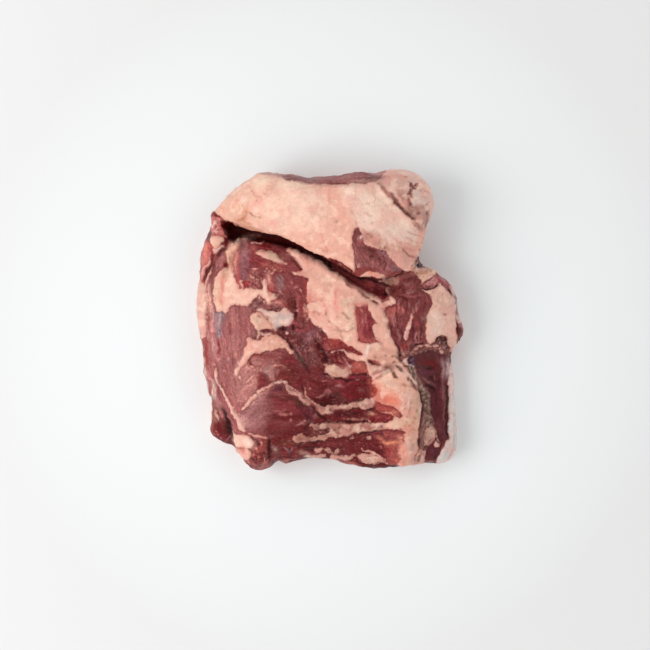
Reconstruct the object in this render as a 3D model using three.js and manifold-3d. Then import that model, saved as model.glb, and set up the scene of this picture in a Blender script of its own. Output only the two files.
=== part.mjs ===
// A raw boneless lamb shoulder, folded over on itself and lying on its fat side, seen best from above.
// Millimetres, +Z up. +Y is towards the folded-over flap, +X towards the loose muscle strip.
// The origin is under the middle of the piece, on the surface that it lies on.
//
// The meat is one piece, so it is one solid. It is put together from cushions: a slab, the flap folded
// over its back, and the smaller lobes that hang out round the edge. The fold's gap and the seams between
// the larger muscles are then cut into it.
import * as THREE from "three";
import { mergeVertices } from "three/addons/utils/BufferGeometryUtils.js";
import Module from "manifold-3d";

const wasm = await Module();
wasm.setup();

// Driving dimensions: heights above the table.
const SLAB_HEIGHT = 46; // the slab between its mounds
const FLAP_HEIGHT = 66; // the crown of the folded flap
const KNOB_HEIGHT = 57; // the lump of fat at the flap's end
const STRIP_HEIGHT = 34; // the loose strip of muscle along the right side
const GAP_ROOF = 51; // underside of the flap over the fold's gap
const GAP_FLOOR = 21; // deepest point of the fold's gap
const SKIRT_HEIGHT = 5; // the thin skirt of fascia at the lower right corner

// Driving dimensions: how round the cushions are. In a section through a cushion's upper half,
// power 2 is an ellipse and more is boxier. foot is the share of the outline that lies flat on the table.
const SLAB_ROUND = { power: 2.7, foot: 0.88 };
const LOBE_ROUND = { power: 2.1, foot: 0.64 };
const SKIRT_ROUND = { power: 3, foot: 0.9 };
const SLAB_RIM = 20; // the height at which the slab is widest

// Outlines in plan, anticlockwise, as the meat lies.
const SLAB_OUTLINE = [
  [88, 4], [86, 17], [81, 27], [73, 33], [65.5, 37], [61, 45], [60, 56], [62, 68], [63, 80], [57, 92], [44, 98],
  [20, 97], [0, 96], [-30, 97], [-54, 93], [-70, 81], [-82, 65], [-89, 45], [-92, 22], [-93, 0], [-91, -22],
  [-87.5, -45], [-82, -62], [-71, -79], [-60, -90], [-44, -97], [-25, -98], [0, -98], [20, -101], [40, -103.5],
  [58, -101], [76, -99], [83, -92], [84.5, -75], [83.5, -55], [83.5, -35], [86, -18], [88.5, -6],
];
const FLAP_OUTLINE = [
  [-82, 72], [-72, 67], [-60, 63.5], [-48, 60], [-34, 58], [-22, 52], [-8, 44.5], [6, 36.5], [18, 29], [28, 27.5],
  [38, 28], [48, 31], [55.5, 32.5], [61, 40], [64, 51], [64.5, 61], [61, 68], [50, 79.5], [40, 89], [34, 98],
  [28, 103.5], [15, 102], [0, 100.5], [-15, 100.5], [-30, 101.8], [-43, 103], [-52, 100], [-62, 94.5], [-71, 88],
  [-79, 79],
];
const KNOB_OUTLINE = [
  [71.5, 82], [70.5, 92], [66, 99], [57, 103.5], [46, 104], [34, 102], [20, 96], [22, 82], [38, 68], [54, 56],
  [64, 55], [69, 68],
];
const POST_OUTLINE = [
  [-60, 60], [-68, 73], [-82, 73], [-88.5, 62], [-90, 45], [-89, 28], [-78, 22], [-66, 34], [-60, 48],
];
const SHANK_LOBE_OUTLINE = [
  [-56, -76], [-64, -56], [-76, -42], [-85, -52], [-85, -68], [-83, -79], [-76, -85], [-66, -88.5],
];
const CORNER_LOBE_OUTLINE = [
  [-26, -84], [-32, -66], [-52, -60], [-66, -73], [-67, -86], [-61, -95], [-52, -103.5], [-41, -102.5],
];
const TIP_OUTLINE = [[93, -8], [92, 0], [88, 12], [76, 14], [70, -6], [76, -19], [89, -16]];
const SKIRT_OUTLINE = [
  [85.5, -30], [83, -22], [72, -40], [66, -80], [66, -99], [76, -100.5], [84, -98.5], [88, -90], [88.5, -78],
  [86.5, -60],
];
const GAP_OUTLINE = [
  [47, 24], [40, 32], [25, 36], [7, 44], [-11, 52], [-25, 60], [-36, 65], [-50, 68], [-63, 71], [-72, 68],
  [-73, 58], [-66, 53], [-56, 56], [-44, 55], [-30, 51], [-18, 45], [-4, 37], [8, 29], [20, 22.5], [34, 16.5],
  [44, 17],
];

// Mounds and hollows on the slab's upper side: middle, half lengths, turn in degrees, height.
const SLAB_SWELLS = [
  { at: [-46, 30], size: [26, 20], turn: -15, rise: 6 }, // the muscle beside the fold
  { at: [-44, -52], size: [34, 30], turn: 20, rise: 7 }, // the large round muscle
  { at: [12, 6], size: [34, 14], turn: -48, rise: 6 }, // the broad band of fat
  { at: [64, 8], size: [22, 24], turn: 0, rise: 8 }, // the right-hand lobe
  { at: [47, -62], size: [15, 34], turn: 0, rise: 7 }, // the fat pad where the rib muscles end
  { at: [-38, -2], size: [20, 8], turn: -12, rise: -5 }, // the pocket in the middle
  { at: [-8, -38], size: [9, 30], turn: 28, rise: -4 }, // the seam below the pocket
  { at: [10, -95], size: [55, 9], turn: 0, rise: -7 }, // the thin lower edge
];

// The same for the flap's upper side.
const FLAP_SWELLS = [
  { at: [-46, 84], size: [24, 16], turn: 20, rise: 3 }, // the thick fat towards the left
  { at: [0, 74], size: [10, 26], turn: 0, rise: -2.5 }, // a shallow dip across the middle
  { at: [36, 60], size: [22, 18], turn: -40, rise: 2.5 }, // the corner that hangs towards the right
];

// Seams cut into the solid: a line in plan, its width, and how deep it reaches.
const STRIP_SEAM = { line: [[47, -30], [56, -39], [62, -49], [65, -62], [65.5, -80], [62.5, -104]], width: 4, floor: 16 };
const STRIP_END = { line: [[54, -25], [62, -21.5], [72, -20.5], [80, -20], [92, -24]], width: 4, floor: 24 };
const SHANK_CLEFT = { line: [[-79, -48], [-75.5, -60], [-71.5, -72], [-68, -84], [-64, -94]], width: 4.5, floor: 9 };
const POST_CLEFT = { line: [[-66, 58], [-70, 47], [-76, 38], [-83, 31], [-91, 26]], width: 4, floor: 30 };
const FLAP_CREASE = { line: [[33, 101], [41, 89.5], [50, 80.5], [59, 70.5], [66, 61]], width: 4, floor: 48 };
const SEAM_ROOF = 75; // clear above everything

const smoothstep = THREE.MathUtils.smoothstep;
const lerp = THREE.MathUtils.lerp;

// A smooth closed curve through the points of an outline, or an open one through those of a line.
function curveThrough(points, closed) {
  const flat = points.map(([x, y]) => new THREE.Vector3(x, y, 0));
  return new THREE.CatmullRomCurve3(flat, closed, "centripetal");
}

// A mound's height at a point of the plan: 1 in its middle, fading to 0 well outside its half lengths.
function swell(x, y, { at, size, turn, rise }) {
  const angle = THREE.MathUtils.degToRad(turn);
  const dx = x - at[0];
  const dy = y - at[1];
  const along = (dx * Math.cos(angle) + dy * Math.sin(angle)) / size[0];
  const across = (dy * Math.cos(angle) - dx * Math.sin(angle)) / size[1];
  return rise * Math.exp(-(along * along + across * across));
}

const swollen = (x, y, mounds) => mounds.reduce((sum, mound) => sum + swell(x, y, mound), 0);

// The upper side of the slab. It steps down to the loose strip along the right side.
function slabTop(x, y) {
  const mounds = SLAB_HEIGHT + swollen(x, y, SLAB_SWELLS);
  const beyondSeam = smoothstep(x, 57, 69) * (1 - smoothstep(y, -28, -18));
  return lerp(mounds, STRIP_HEIGHT, beyondSeam);
}

// How far a point lies behind the flap's free edge, which runs down towards the right.
function behindLip(x, y) {
  return y - lerp(66, 30, smoothstep(x, -70, 35));
}

// The flap is lowest at its free edge and its left-hand end. Its underside drops to the table behind the gap.
function flapTop(x, y) {
  const level = lerp(FLAP_HEIGHT - 7, FLAP_HEIGHT, smoothstep(behindLip(x, y), 0, 24));
  return level - 8 * smoothstep(-x, 40, 85) + swollen(x, y, FLAP_SWELLS);
}
function flapRim(x, y) {
  const overGap = (1 - smoothstep(behindLip(x, y), 6, 26)) * smoothstep(x, -84, -64);
  return lerp(26, GAP_ROOF + 3, overGap);
}
function flapFoot(x, y) {
  const overGap = (1 - smoothstep(behindLip(x, y), 12, 30)) * smoothstep(x, -84, -64);
  return lerp(0, GAP_ROOF - 8, overGap);
}

// The profile that a cushion is turned from, in shares of its outline and height: down from the crown, round
// the rim, and in along the foot.
function cushionProfile(power, footShare, crownRings, rimRings, footRings) {
  const turnOver = 0.84; // where the even rings on the crown give way to the closer ones on the rim
  const points = [];
  for (let i = 0; i <= crownRings; i++) {
    const r = (turnOver * i) / crownRings;
    points.push([r, (1 - r ** power) ** (1 / power)]);
  }
  const start = Math.acos(turnOver ** (power / 2));
  for (let i = 1; i <= rimRings; i++) {
    const angle = lerp(start, 0, i / rimRings);
    points.push([Math.cos(angle) ** (2 / power), Math.sin(angle) ** (2 / power)]);
  }
  const tuckRings = Math.ceil(rimRings / 2);
  for (let i = 1; i <= tuckRings; i++) {
    const angle = (Math.PI / 2) * (i / tuckRings);
    points.push([lerp(footShare, 1, Math.cos(angle)), -Math.sin(angle)]);
  }
  for (let i = 1; i <= footRings; i++) points.push([footShare * (1 - i / footRings), -1]);
  // LatheGeometry turns its faces outwards when the profile runs upwards.
  return points.reverse().map(([r, s]) => new THREE.Vector2(Math.max(r, 0), s));
}

// A cushion: a turned form whose rings follow an outline, with its height given over the plan.
function cushion({ outline, middle, top, rim, foot = () => 0, round = SLAB_ROUND, around, rings }) {
  const edge = curveThrough(outline, true);
  const shape = new THREE.LatheGeometry(cushionProfile(round.power, round.foot, ...rings), around);
  const spots = shape.attributes.position;
  const onEdge = new THREE.Vector3();
  for (let i = 0; i < spots.count; i++) {
    const r = Math.hypot(spots.getX(i), spots.getZ(i));
    const s = spots.getY(i);
    const turned = Math.atan2(spots.getX(i), spots.getZ(i)) / (2 * Math.PI);
    edge.getPointAt((turned + 1) % 1, onEdge);
    const x = lerp(middle[0], onEdge.x, r);
    const y = lerp(middle[1], onEdge.y, r);
    const level = rim(x, y);
    const z = s >= 0 ? lerp(level, top(x, y), s) : lerp(level, foot(x, y), -s);
    spots.setXYZ(i, x, y, z);
  }
  return solid(shape);
}

// A blade along a line in plan, thin at its ends and at its lower edge, that cuts a seam.
function seamCutter({ line, width, floor }) {
  const steps = 14;
  const path = curveThrough(line, false);
  const shape = new THREE.BoxGeometry(1, 1, 1, steps, 1, 1);
  const spots = shape.attributes.position;
  const middle = new THREE.Vector3();
  const ahead = new THREE.Vector3();
  for (let i = 0; i < spots.count; i++) {
    const share = THREE.MathUtils.clamp(spots.getX(i) + 0.5, 0, 1);
    path.getPointAt(share, middle);
    path.getTangentAt(share, ahead);
    const upper = spots.getZ(i) > 0;
    const taper = 0.15 + 0.85 * Math.sin(Math.PI * share);
    const half = (upper ? 1 : 0.25) * width * taper * spots.getY(i);
    const deep = lerp(floor + 14, floor, Math.sin(Math.PI * share));
    spots.setXYZ(i, middle.x - ahead.y * half, middle.y + ahead.x * half, upper ? SEAM_ROOF : deep);
  }
  return solid(shape);
}

// A closed geometry as a solid. Only the positions are kept, so that shared corners merge.
function solid(geometry) {
  geometry.deleteAttribute("normal");
  geometry.deleteAttribute("uv");
  const merged = mergeVertices(geometry, 1e-4);
  const corners = new Uint32Array(merged.index.array);
  const faces = [];
  for (let i = 0; i < corners.length; i += 3) {
    const [a, b, c] = corners.slice(i, i + 3);
    if (a !== b && b !== c && c !== a) faces.push(a, b, c);
  }
  return new wasm.Manifold(
    new wasm.Mesh({
      numProp: 3,
      vertProperties: new Float32Array(merged.attributes.position.array),
      triVerts: new Uint32Array(faces),
    }),
  );
}

// The slab that everything else lies on or hangs from.
function makeSlab() {
  return cushion({
    outline: SLAB_OUTLINE,
    middle: [0, -5],
    top: slabTop,
    rim: (x, y) => SLAB_RIM + 4 * Math.sin(x / 21) + 3 * Math.cos(y / 16),
    around: 80,
    rings: [15, 7, 1],
  });
}

// The flap that is folded over the slab's back, with the lump of fat at its right-hand end.
function makeFlap() {
  return cushion({
    outline: FLAP_OUTLINE,
    middle: [-2, 72],
    top: flapTop,
    rim: flapRim,
    foot: flapFoot,
    around: 52,
    rings: [8, 6, 1],
  });
}
function makeKnob() {
  return cushion({
    outline: KNOB_OUTLINE,
    middle: [48, 82],
    top: () => KNOB_HEIGHT,
    rim: () => 34,
    foot: () => 6,
    round: LOBE_ROUND,
    around: 30,
    rings: [4, 6, 1],
  });
}

// The lobes round the edge, each lower than the slab.
function makeLobes() {
  const lobe = (outline, middle, top, rim, round = LOBE_ROUND) =>
    cushion({ outline, middle, top: () => top, rim: () => rim, round, around: 26, rings: [4, 5, 1] });
  return [
    lobe(POST_OUTLINE, [-77, 52], 49, 27),
    lobe(SHANK_LOBE_OUTLINE, [-72, -68], 27, 11),
    lobe(CORNER_LOBE_OUTLINE, [-49, -81], 44, 17),
    lobe(TIP_OUTLINE, [82, -4], 33, 17),
    lobe(SKIRT_OUTLINE, [78, -75], SKIRT_HEIGHT, 2, SKIRT_ROUND),
  ];
}

// The hollow under the flap's free edge, which stays open along the whole edge.
function makeGap() {
  return cushion({
    outline: GAP_OUTLINE,
    middle: [-18, 50],
    top: () => GAP_ROOF,
    rim: () => 44,
    foot: (x) => lerp(GAP_FLOOR, 32, smoothstep(x, -20, 30)),
    around: 44,
    rings: [3, 4, 3],
  });
}

function makeShoulder() {
  const joined = [makeFlap(), makeKnob(), ...makeLobes()].reduce((sum, piece) => sum.add(piece), makeSlab());
  const cutters = [makeGap(), ...[STRIP_SEAM, STRIP_END, SHANK_CLEFT, POST_CLEFT, FLAP_CREASE].map(seamCutter)];
  return cutters.reduce((left, cutter) => left.subtract(cutter), joined);
}

// The solid as a mesh, moved so that its box stands over the origin.
function meshOf(name, made, material) {
  const { vertProperties, triVerts } = made.getMesh();
  const geometry = new THREE.BufferGeometry();
  geometry.setAttribute("position", new THREE.BufferAttribute(new Float32Array(vertProperties), 3));
  geometry.setIndex(new THREE.BufferAttribute(new Uint32Array(triVerts), 1));
  geometry.computeBoundingBox();
  const { min, max } = geometry.boundingBox;
  geometry.translate(-(min.x + max.x) / 2, -(min.y + max.y) / 2, -min.z);
  const mesh = new THREE.Mesh(geometry, material);
  mesh.name = name;
  return mesh;
}

const rawLamb = new THREE.MeshStandardMaterial({ color: 0xa3605c, roughness: 0.42, metalness: 0 });
const lambShoulder = new THREE.Group();
lambShoulder.add(meshOf("lamb_shoulder", makeShoulder(), rawLamb));

export default lambShoulder;
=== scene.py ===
# A raw boneless lamb shoulder, lying on its fat side with one end folded over, seen from straight above.
# Lengths that say _MM are millimetres; everything that reaches Blender is in metres.
import itertools
import math

import bmesh
import bpy
import numpy as np
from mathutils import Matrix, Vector
from mathutils.bvhtree import BVHTree


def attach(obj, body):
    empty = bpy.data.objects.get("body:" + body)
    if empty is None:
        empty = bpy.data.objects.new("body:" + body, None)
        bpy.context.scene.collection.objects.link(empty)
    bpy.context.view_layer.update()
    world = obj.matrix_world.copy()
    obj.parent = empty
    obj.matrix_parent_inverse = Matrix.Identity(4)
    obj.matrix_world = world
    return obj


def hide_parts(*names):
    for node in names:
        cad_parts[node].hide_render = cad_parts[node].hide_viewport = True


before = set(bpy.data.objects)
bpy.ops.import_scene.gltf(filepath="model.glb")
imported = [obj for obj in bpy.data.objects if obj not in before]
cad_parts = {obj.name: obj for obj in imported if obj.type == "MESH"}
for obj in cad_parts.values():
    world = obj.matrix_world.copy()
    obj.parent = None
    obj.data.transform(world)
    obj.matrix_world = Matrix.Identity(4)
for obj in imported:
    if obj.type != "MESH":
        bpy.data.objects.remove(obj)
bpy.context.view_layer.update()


# ---- The camera --------------------------------------------------------------
# It looks straight down at the meat from 1.8 m through a long lens, so the sides hardly show. The frame is
# 455 mm wide at the height of the bare muscle.
CAMERA_MM = np.array([-3.5, -3.5, 1800.0])
FRAMED_WIDTH_MM = 455.0
FRAMED_HEIGHT_MM = 27.0
SENSOR_MM = 36.0

lens = bpy.data.cameras.new("camera")
lens.sensor_width = SENSOR_MM
lens.lens = SENSOR_MM * (CAMERA_MM[2] - FRAMED_HEIGHT_MM) / FRAMED_WIDTH_MM
lens.clip_start = 0.05
lens.clip_end = 20.0
camera = bpy.data.objects.new("camera", lens)
camera.location = CAMERA_MM / 1000.0
bpy.context.collection.objects.link(camera)
bpy.context.scene.camera = camera


# ---- The pale ground ---------------------------------------------------------
# A wide sheet of matt off-white paper, lit by an even white room and one big soft window of light that
# stands to the left, so a faint shadow lies at the right. Near the meat the paper is painted paler and
# bluer: painted light that lifts the shade round the meat and cancels the pink light that it throws.
PAPER_WIDTH = 6.0
PAPER_ROUGHNESS = 0.9
PAPER_GLOSS = 0.2
NEAR_PAINTED_LIGHT_TINT = (0.885, 0.925, 0.93, 1.0)
FAR_TINT = (0.775, 0.775, 0.775, 1.0)
NEAR_REACH = 0.10
FAR_REACH = 0.25
ROOM_OVERHEAD = 0.58
ROOM_SIDES = 1.20
WINDOW_SIZE = 1.2
WINDOW_PLACE = (-1.15, -0.15, 1.15)
WINDOW_POWER = 14.0


def wire(tree, kind, settings=None, **inputs):
    """Adds a node; an input is a value, or an output socket to link it to."""
    node = tree.nodes.new(kind)
    for name, value in (settings or {}).items():
        setattr(node, name, value)
    for name, value in inputs.items():
        key = int(name[1:]) if name[0] == "i" and name[1:].isdigit() else name.replace("_", " ")
        if isinstance(value, bpy.types.NodeSocket):
            tree.links.new(value, node.inputs[key])
        else:
            node.inputs[key].default_value = value
    return node


def finish_tree(name):
    """A new empty material and its node tree."""
    material = bpy.data.materials.new(name)
    material.use_nodes = True
    material.node_tree.nodes.clear()
    return material, material.node_tree


paper_mesh = bpy.data.meshes.new("paper")
half = PAPER_WIDTH / 2
paper_corners = [(-half, -half, 0), (half, -half, 0), (half, half, 0), (-half, half, 0)]
paper_mesh.from_pydata(paper_corners, [], [(0, 1, 2, 3)])
paper = bpy.data.objects.new("paper", paper_mesh)
bpy.context.collection.objects.link(paper)
paper_finish, tree = finish_tree("matt paper")
paper_place = wire(tree, "ShaderNodeTexCoord").outputs["Object"]
paper_reach = wire(tree, "ShaderNodeVectorMath", {"operation": "LENGTH"}, i0=paper_place).outputs["Value"]
# Painted light: the paper is paler and bluer near the meat, fading out between NEAR_REACH and FAR_REACH.
outwards = wire(tree, "ShaderNodeMapRange", Value=paper_reach, From_Min=NEAR_REACH, From_Max=FAR_REACH)
paper_tone_with_painted_light = wire(tree, "ShaderNodeMix", {"data_type": "RGBA"}, i0=outwards.outputs[0], i6=NEAR_PAINTED_LIGHT_TINT,
                  i7=FAR_TINT).outputs[2]
paper_shader = wire(tree, "ShaderNodeBsdfPrincipled", Base_Color=paper_tone_with_painted_light, Roughness=PAPER_ROUGHNESS,
                    Specular_IOR_Level=PAPER_GLOSS)
wire(tree, "ShaderNodeOutputMaterial", Surface=paper_shader.outputs[0])
paper_mesh.materials.append(paper_finish)

room = bpy.data.worlds.new("room")
bpy.context.scene.world = room
room.use_nodes = True
way_out = wire(room.node_tree, "ShaderNodeTexCoord").outputs[0]
height_of_sky = wire(room.node_tree, "ShaderNodeSeparateXYZ", i0=way_out).outputs["Z"]
sky = wire(room.node_tree, "ShaderNodeMapRange", Value=height_of_sky, From_Min=0.0, From_Max=1.0,
           To_Min=ROOM_SIDES, To_Max=ROOM_OVERHEAD)
room.node_tree.links.new(sky.outputs[0], room.node_tree.nodes["Background"].inputs["Strength"])
room.node_tree.nodes["Background"].inputs["Color"].default_value = (1.0, 1.0, 1.0, 1.0)

window = bpy.data.lights.new("window", "AREA")
window.shape = "SQUARE"
window.size = WINDOW_SIZE
window.energy = WINDOW_POWER
window_lamp = bpy.data.objects.new("window", window)
window_lamp.location = WINDOW_PLACE
window_lamp.rotation_euler = (-Vector(WINDOW_PLACE)).to_track_quat("-Z", "Y").to_euler()
bpy.context.collection.objects.link(window_lamp)
bpy.context.scene.view_settings.view_transform = "Standard"


# ---- The flesh as a whole ----------------------------------------------------
# One boned shoulder of lamb: dark red muscles in their skins of fat and silverskin. Its skin is the CAD
# solid's, rounded off like soft meat, with points every 0.9 mm on the upper side. Each muscle and
# layer of fat is then drawn on it where it lies, as the knife left it.
ROUGH_GRAIN = 0.0016
SKIN_GRAIN = 0.00173
ROUNDING_PASSES = 14
SKIN_PASSES = 3
JOIN_REACH = 2e-5
RESTING_HEIGHT = 0.0012
RAY_START = 0.0012
UPPER_FACING = 0.22


def remeshed(thing, grain, passes):
    """The thing's skin as an even net of squares, smoothed."""
    net = thing.modifiers.new("net", "REMESH")
    net.mode = "VOXEL"
    net.voxel_size = grain
    soft = thing.modifiers.new("soft", "SMOOTH")
    soft.factor = 0.5
    soft.iterations = passes
    shape = bpy.data.meshes.new_from_object(thing.evaluated_get(bpy.context.evaluated_depsgraph_get()))
    thing.modifiers.clear()
    thing.data = shape
    bpy.context.view_layer.update()


loose = bmesh.new()
loose.from_mesh(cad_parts["lamb_shoulder"].data)
bmesh.ops.remove_doubles(loose, verts=loose.verts, dist=JOIN_REACH)
skin = bpy.data.meshes.new("raw lamb")
loose.to_mesh(skin)
loose.free()
meat = bpy.data.objects.new("raw_lamb_shoulder", skin)
bpy.context.collection.objects.link(meat)
bpy.context.view_layer.update()
remeshed(meat, ROUGH_GRAIN, ROUNDING_PASSES)
remeshed(meat, SKIN_GRAIN, SKIN_PASSES)


def open_to_the_sky(hull, places):
    """For each place, in metres, whether nothing of the meat lies between it and the camera."""
    eye = Vector(CAMERA_MM / 1000.0)
    clear = np.zeros(len(places), bool)
    for index, place in enumerate(places):
        start = Vector(place)
        way_up = (eye - start).normalized()
        clear[index] = hull.ray_cast(start + way_up * RAY_START, way_up)[0] is None
    return clear


flesh = bmesh.new()
flesh.from_mesh(meat.data)
for point in flesh.verts:
    if point.co.z < RESTING_HEIGHT:
        point.co.z = 0.0
hull = BVHTree.FromBMesh(flesh)
flesh.normal_update()
upper = [face for face in flesh.faces if face.normal.z > UPPER_FACING]
lit = open_to_the_sky(hull, [face.calc_center_median() for face in upper])
edges = {edge for face, shows in zip(upper, lit) if shows for edge in face.edges}
bmesh.ops.subdivide_edges(flesh, edges=list(edges), cuts=1, use_grid_fill=True)
flesh.to_mesh(meat.data)
flesh.free()

meat.data.update()
count = len(meat.data.vertices)
place = np.empty(count * 3)
meat.data.vertices.foreach_get("co", place)
place = place.reshape(-1, 3) * 1000.0
facing = np.array([normal.vector[:] for normal in meat.data.vertex_normals])
clear = open_to_the_sky(hull, place / 1000.0)
rims = np.empty(len(meat.data.edges) * 2, np.int64)
meat.data.edges.foreach_get("vertices", rims)
rims = rims.reshape(-1, 2)
for _ in range(2):
    shows = clear.copy()
    np.logical_or.at(shows, rims[:, 0], clear[rims[:, 1]])
    np.logical_or.at(shows, rims[:, 1], clear[rims[:, 0]])
    clear = shows


def ease(value, low, high):
    """0 up to low and 1 from high on, with a smooth rise between."""
    part = np.clip((value - low) / (high - low), 0.0, 1.0)
    return part * part * (3.0 - 2.0 * part)


HASH_STEPS = (73856093, 19349663, 83492791)
HASH_MIXES = ((13, 1274126177), (11, 668265263))
HASH_MASK = 0x7FFFFFFF


def lumps(where, size, seed):
    """Smooth random values from -1 to 1, with lumps about as wide as the size."""
    cell = where / size
    low = np.floor(cell).astype(np.int64)
    part = cell - low
    part = part * part * (3.0 - 2.0 * part)
    total = np.zeros(len(where))
    for corner in itertools.product((0, 1), repeat=where.shape[1]):
        share = np.ones(len(where))
        key = np.full(len(where), seed * 7919 + 17, np.int64)
        for axis, step in enumerate(corner):
            share *= part[:, axis] if step else 1.0 - part[:, axis]
            key = (key * 31 + (low[:, axis] + step) * HASH_STEPS[axis]) & HASH_MASK
        for shift, mixer in HASH_MIXES:
            key = ((key ^ (key >> shift)) * mixer) & HASH_MASK
        total += share * (((key >> 7) & 0xFFFF) / 32767.5 - 1.0)
    return total


def seen_from_camera():
    """Where each point shows in the frame, in millimetres at the height of the bare muscle."""
    reach_down = (CAMERA_MM[2] - FRAMED_HEIGHT_MM) / (CAMERA_MM[2] - place[:, 2:3])
    return CAMERA_MM[:2] + (place[:, :2] - CAMERA_MM[:2]) * reach_down


def knots_of(text):
    """The points that the text gives, in millimetres."""
    return np.array([[float(part) for part in pair.split(",")] for pair in text.split()])


def run_of(text, closed):
    """A smooth line through the points that the text gives."""
    knots = knots_of(text)
    if closed:
        ring = np.vstack([knots[-1:], knots, knots[:2]])
    else:
        ring = np.vstack([2 * knots[:1] - knots[1:2], knots, 2 * knots[-1:] - knots[-2:-1]])
    made = []
    for before, start, end, after in zip(ring, ring[1:], ring[2:], ring[3:]):
        steps = max(1, int(np.hypot(*(end - start)) / KNOT_PACE))
        part = (np.arange(steps) / steps)[:, None]
        made.append(
            0.5 * (2 * start + (end - before) * part + (2 * before - 5 * start + 4 * end - after) * part**2
                   + (3 * start - before - 3 * end + after) * part**3)
        )
    if not closed:
        made.append(knots[-1:])
    return np.vstack(made)


# The CAD solid's edge is a little smoother than the meat's, so the rim is drawn in or out to the real one.
KNOT_PACE = 0.9
MEAT_EDGE = (
    "90.5,0 90.5,3 89.5,6 90,10 89.5,13 88,17 86,22 83.5,26 80,29.5 75,33.5 70,35 66.5,36 65,38.5 63,42 "
    "62.5,46 64.5,54 66,60 66.5,65 69,71 71.5,79 72,85 70.5,90 68.5,95 65.5,98.5 59.5,102.5 51,105 42,105 "
    "33.5,103 26,103.5 18,104 11,102.5 3.5,101.5 -3.5,101 -10.5,101 -17.5,100 -25.5,101.5 -33.5,102.5 "
    "-41.5,103 -50,102.5 -57,98.5 -63.5,94 -69,89 -72,85.5 -76,81 -80,77.5 -82.5,76 -83.5,73.5 -82.5,70 "
    "-84,66 -86,62.5 -87,58 -88.5,54 -90,48 -91,40 -91.5,33 -92,26.5 -93,20 -93,13 -92.5,6.5 -92,0 -91,-6 "
    "-90.2,-13 -89.4,-19 -89,-25.5 -88.5,-32 -88,-39 -85.5,-45.5 -84,-53 -82,-60 -82,-66 -82.2,-71 -82.6,-76 "
    "-82,-80.5 -76.5,-85 -71,-87 -68.5,-88 -65,-91.5 -62.5,-94.5 -58.5,-101 -55,-104 -51,-105 -46,-104.5 "
    "-42,-102 -38.5,-100 -32.5,-100.5 -24.5,-99 -17,-97.3 -10,-96.8 -3.5,-97.5 3.5,-97.5 10.5,-100.5 "
    "18,-102.6 25.5,-103.8 33.5,-104.4 41.5,-104.4 50,-103 58,-101 67,-100 76,-100.5 82,-99 86,-95 88,-90 "
    "88.5,-84 88,-76 87.5,-66 87,-56 86.5,-46 85.5,-36 84.5,-29 85.5,-25 86.5,-20 88.5,-17 92,-13 94,-8.5 "
    "93,-4 91.5,-1"
)
EDGE_STEPS = 240
EDGE_PARTS = (0.0, 0.25, 0.5, 0.75)
RELIEF_MM = 0.8
RIM_STARTS = 0.70
RIM_FULL = 0.97
seen = seen_from_camera()


def widest(points):
    """The largest distance from the middle in each of the directions round it."""
    turn = np.arctan2(points[:, 1], points[:, 0])
    step = np.floor((turn / (2 * math.pi) % 1.0) * EDGE_STEPS).astype(int) % EDGE_STEPS
    far = np.zeros(EDGE_STEPS)
    np.maximum.at(far, step, np.hypot(points[:, 0], points[:, 1]))
    return far


def round_the_rim(far, points):
    """The distance that the rim has in each point's direction."""
    turn = (np.arctan2(points[:, 1], points[:, 0]) / (2 * math.pi) % 1.0) * EDGE_STEPS - 0.5
    return np.interp(turn, np.arange(-1, EDGE_STEPS + 1), np.concatenate([far[-1:], far, far[:1]]))


edge_run = run_of(MEAT_EDGE, True)
edge_step = np.roll(edge_run, -1, 0) - edge_run
edge_run = np.vstack([edge_run + edge_step * part for part in EDGE_PARTS])
solid_rim = round_the_rim(widest(seen), seen)
wanted = (round_the_rim(widest(edge_run), seen) - RELIEF_MM) / solid_rim
pull = ease(np.hypot(seen[:, 0], seen[:, 1]) / solid_rim, RIM_STARTS, RIM_FULL)
place[:, :2] *= (1.0 + (wanted - 1.0) * pull)[:, None]

# Where each point is seen from the camera, wobbled a little so that no drawn edge is smooth.
WOBBLE_MM = 0.7
FINE_WOBBLE_MM = 0.45
plan = seen_from_camera()
seen = plan.copy()
for axis in (0, 1):
    seen[:, axis] += WOBBLE_MM * lumps(plan, 4.0, 11 + axis) + FINE_WOBBLE_MM * lumps(plan, 1.4, 21 + axis)

# What is drawn at each point: how deep it lies inside fat (above 0) or muscle (below 0) in millimetres, the
# colours of both, how dark it is with blood and painted shade, how far it stands up, and its place along
# and across the fibres.
LEAN_DEPTH = 5.0
PUFF_SLOPE_MM = 4.0
TAPER_MM = 2.5
TIP_WIDTH = 0.35
COLOUR_GAIN = 0.93
GLOSS_HAZE = 0.018
fatness = np.full(count, -LEAN_DEPTH)
fat_colour = np.zeros((count, 3))
lean_colour = np.zeros((count, 3))
blood_and_shade = np.zeros(count)
rise = np.zeros(count)
marbled = np.full(count, 0.4)
torn = np.full(count, 0.15)
low_part = np.ones(count, bool)
fibre = np.column_stack([plan[:, 0] * 0.5 + plan[:, 1] * 0.87, plan[:, 0] * 0.87 - plan[:, 1] * 0.5])


def linear(colour):
    """The surface's own colour, where the colour as seen is given: what the wet gloss adds is taken off."""
    value = np.array(colour) / 255.0
    value = np.where(value <= 0.04045, value / 12.92, ((value + 0.055) / 1.055) ** 2.4)
    return COLOUR_GAIN * np.maximum(value - GLOSS_HAZE, 0.25 * value)


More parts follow.
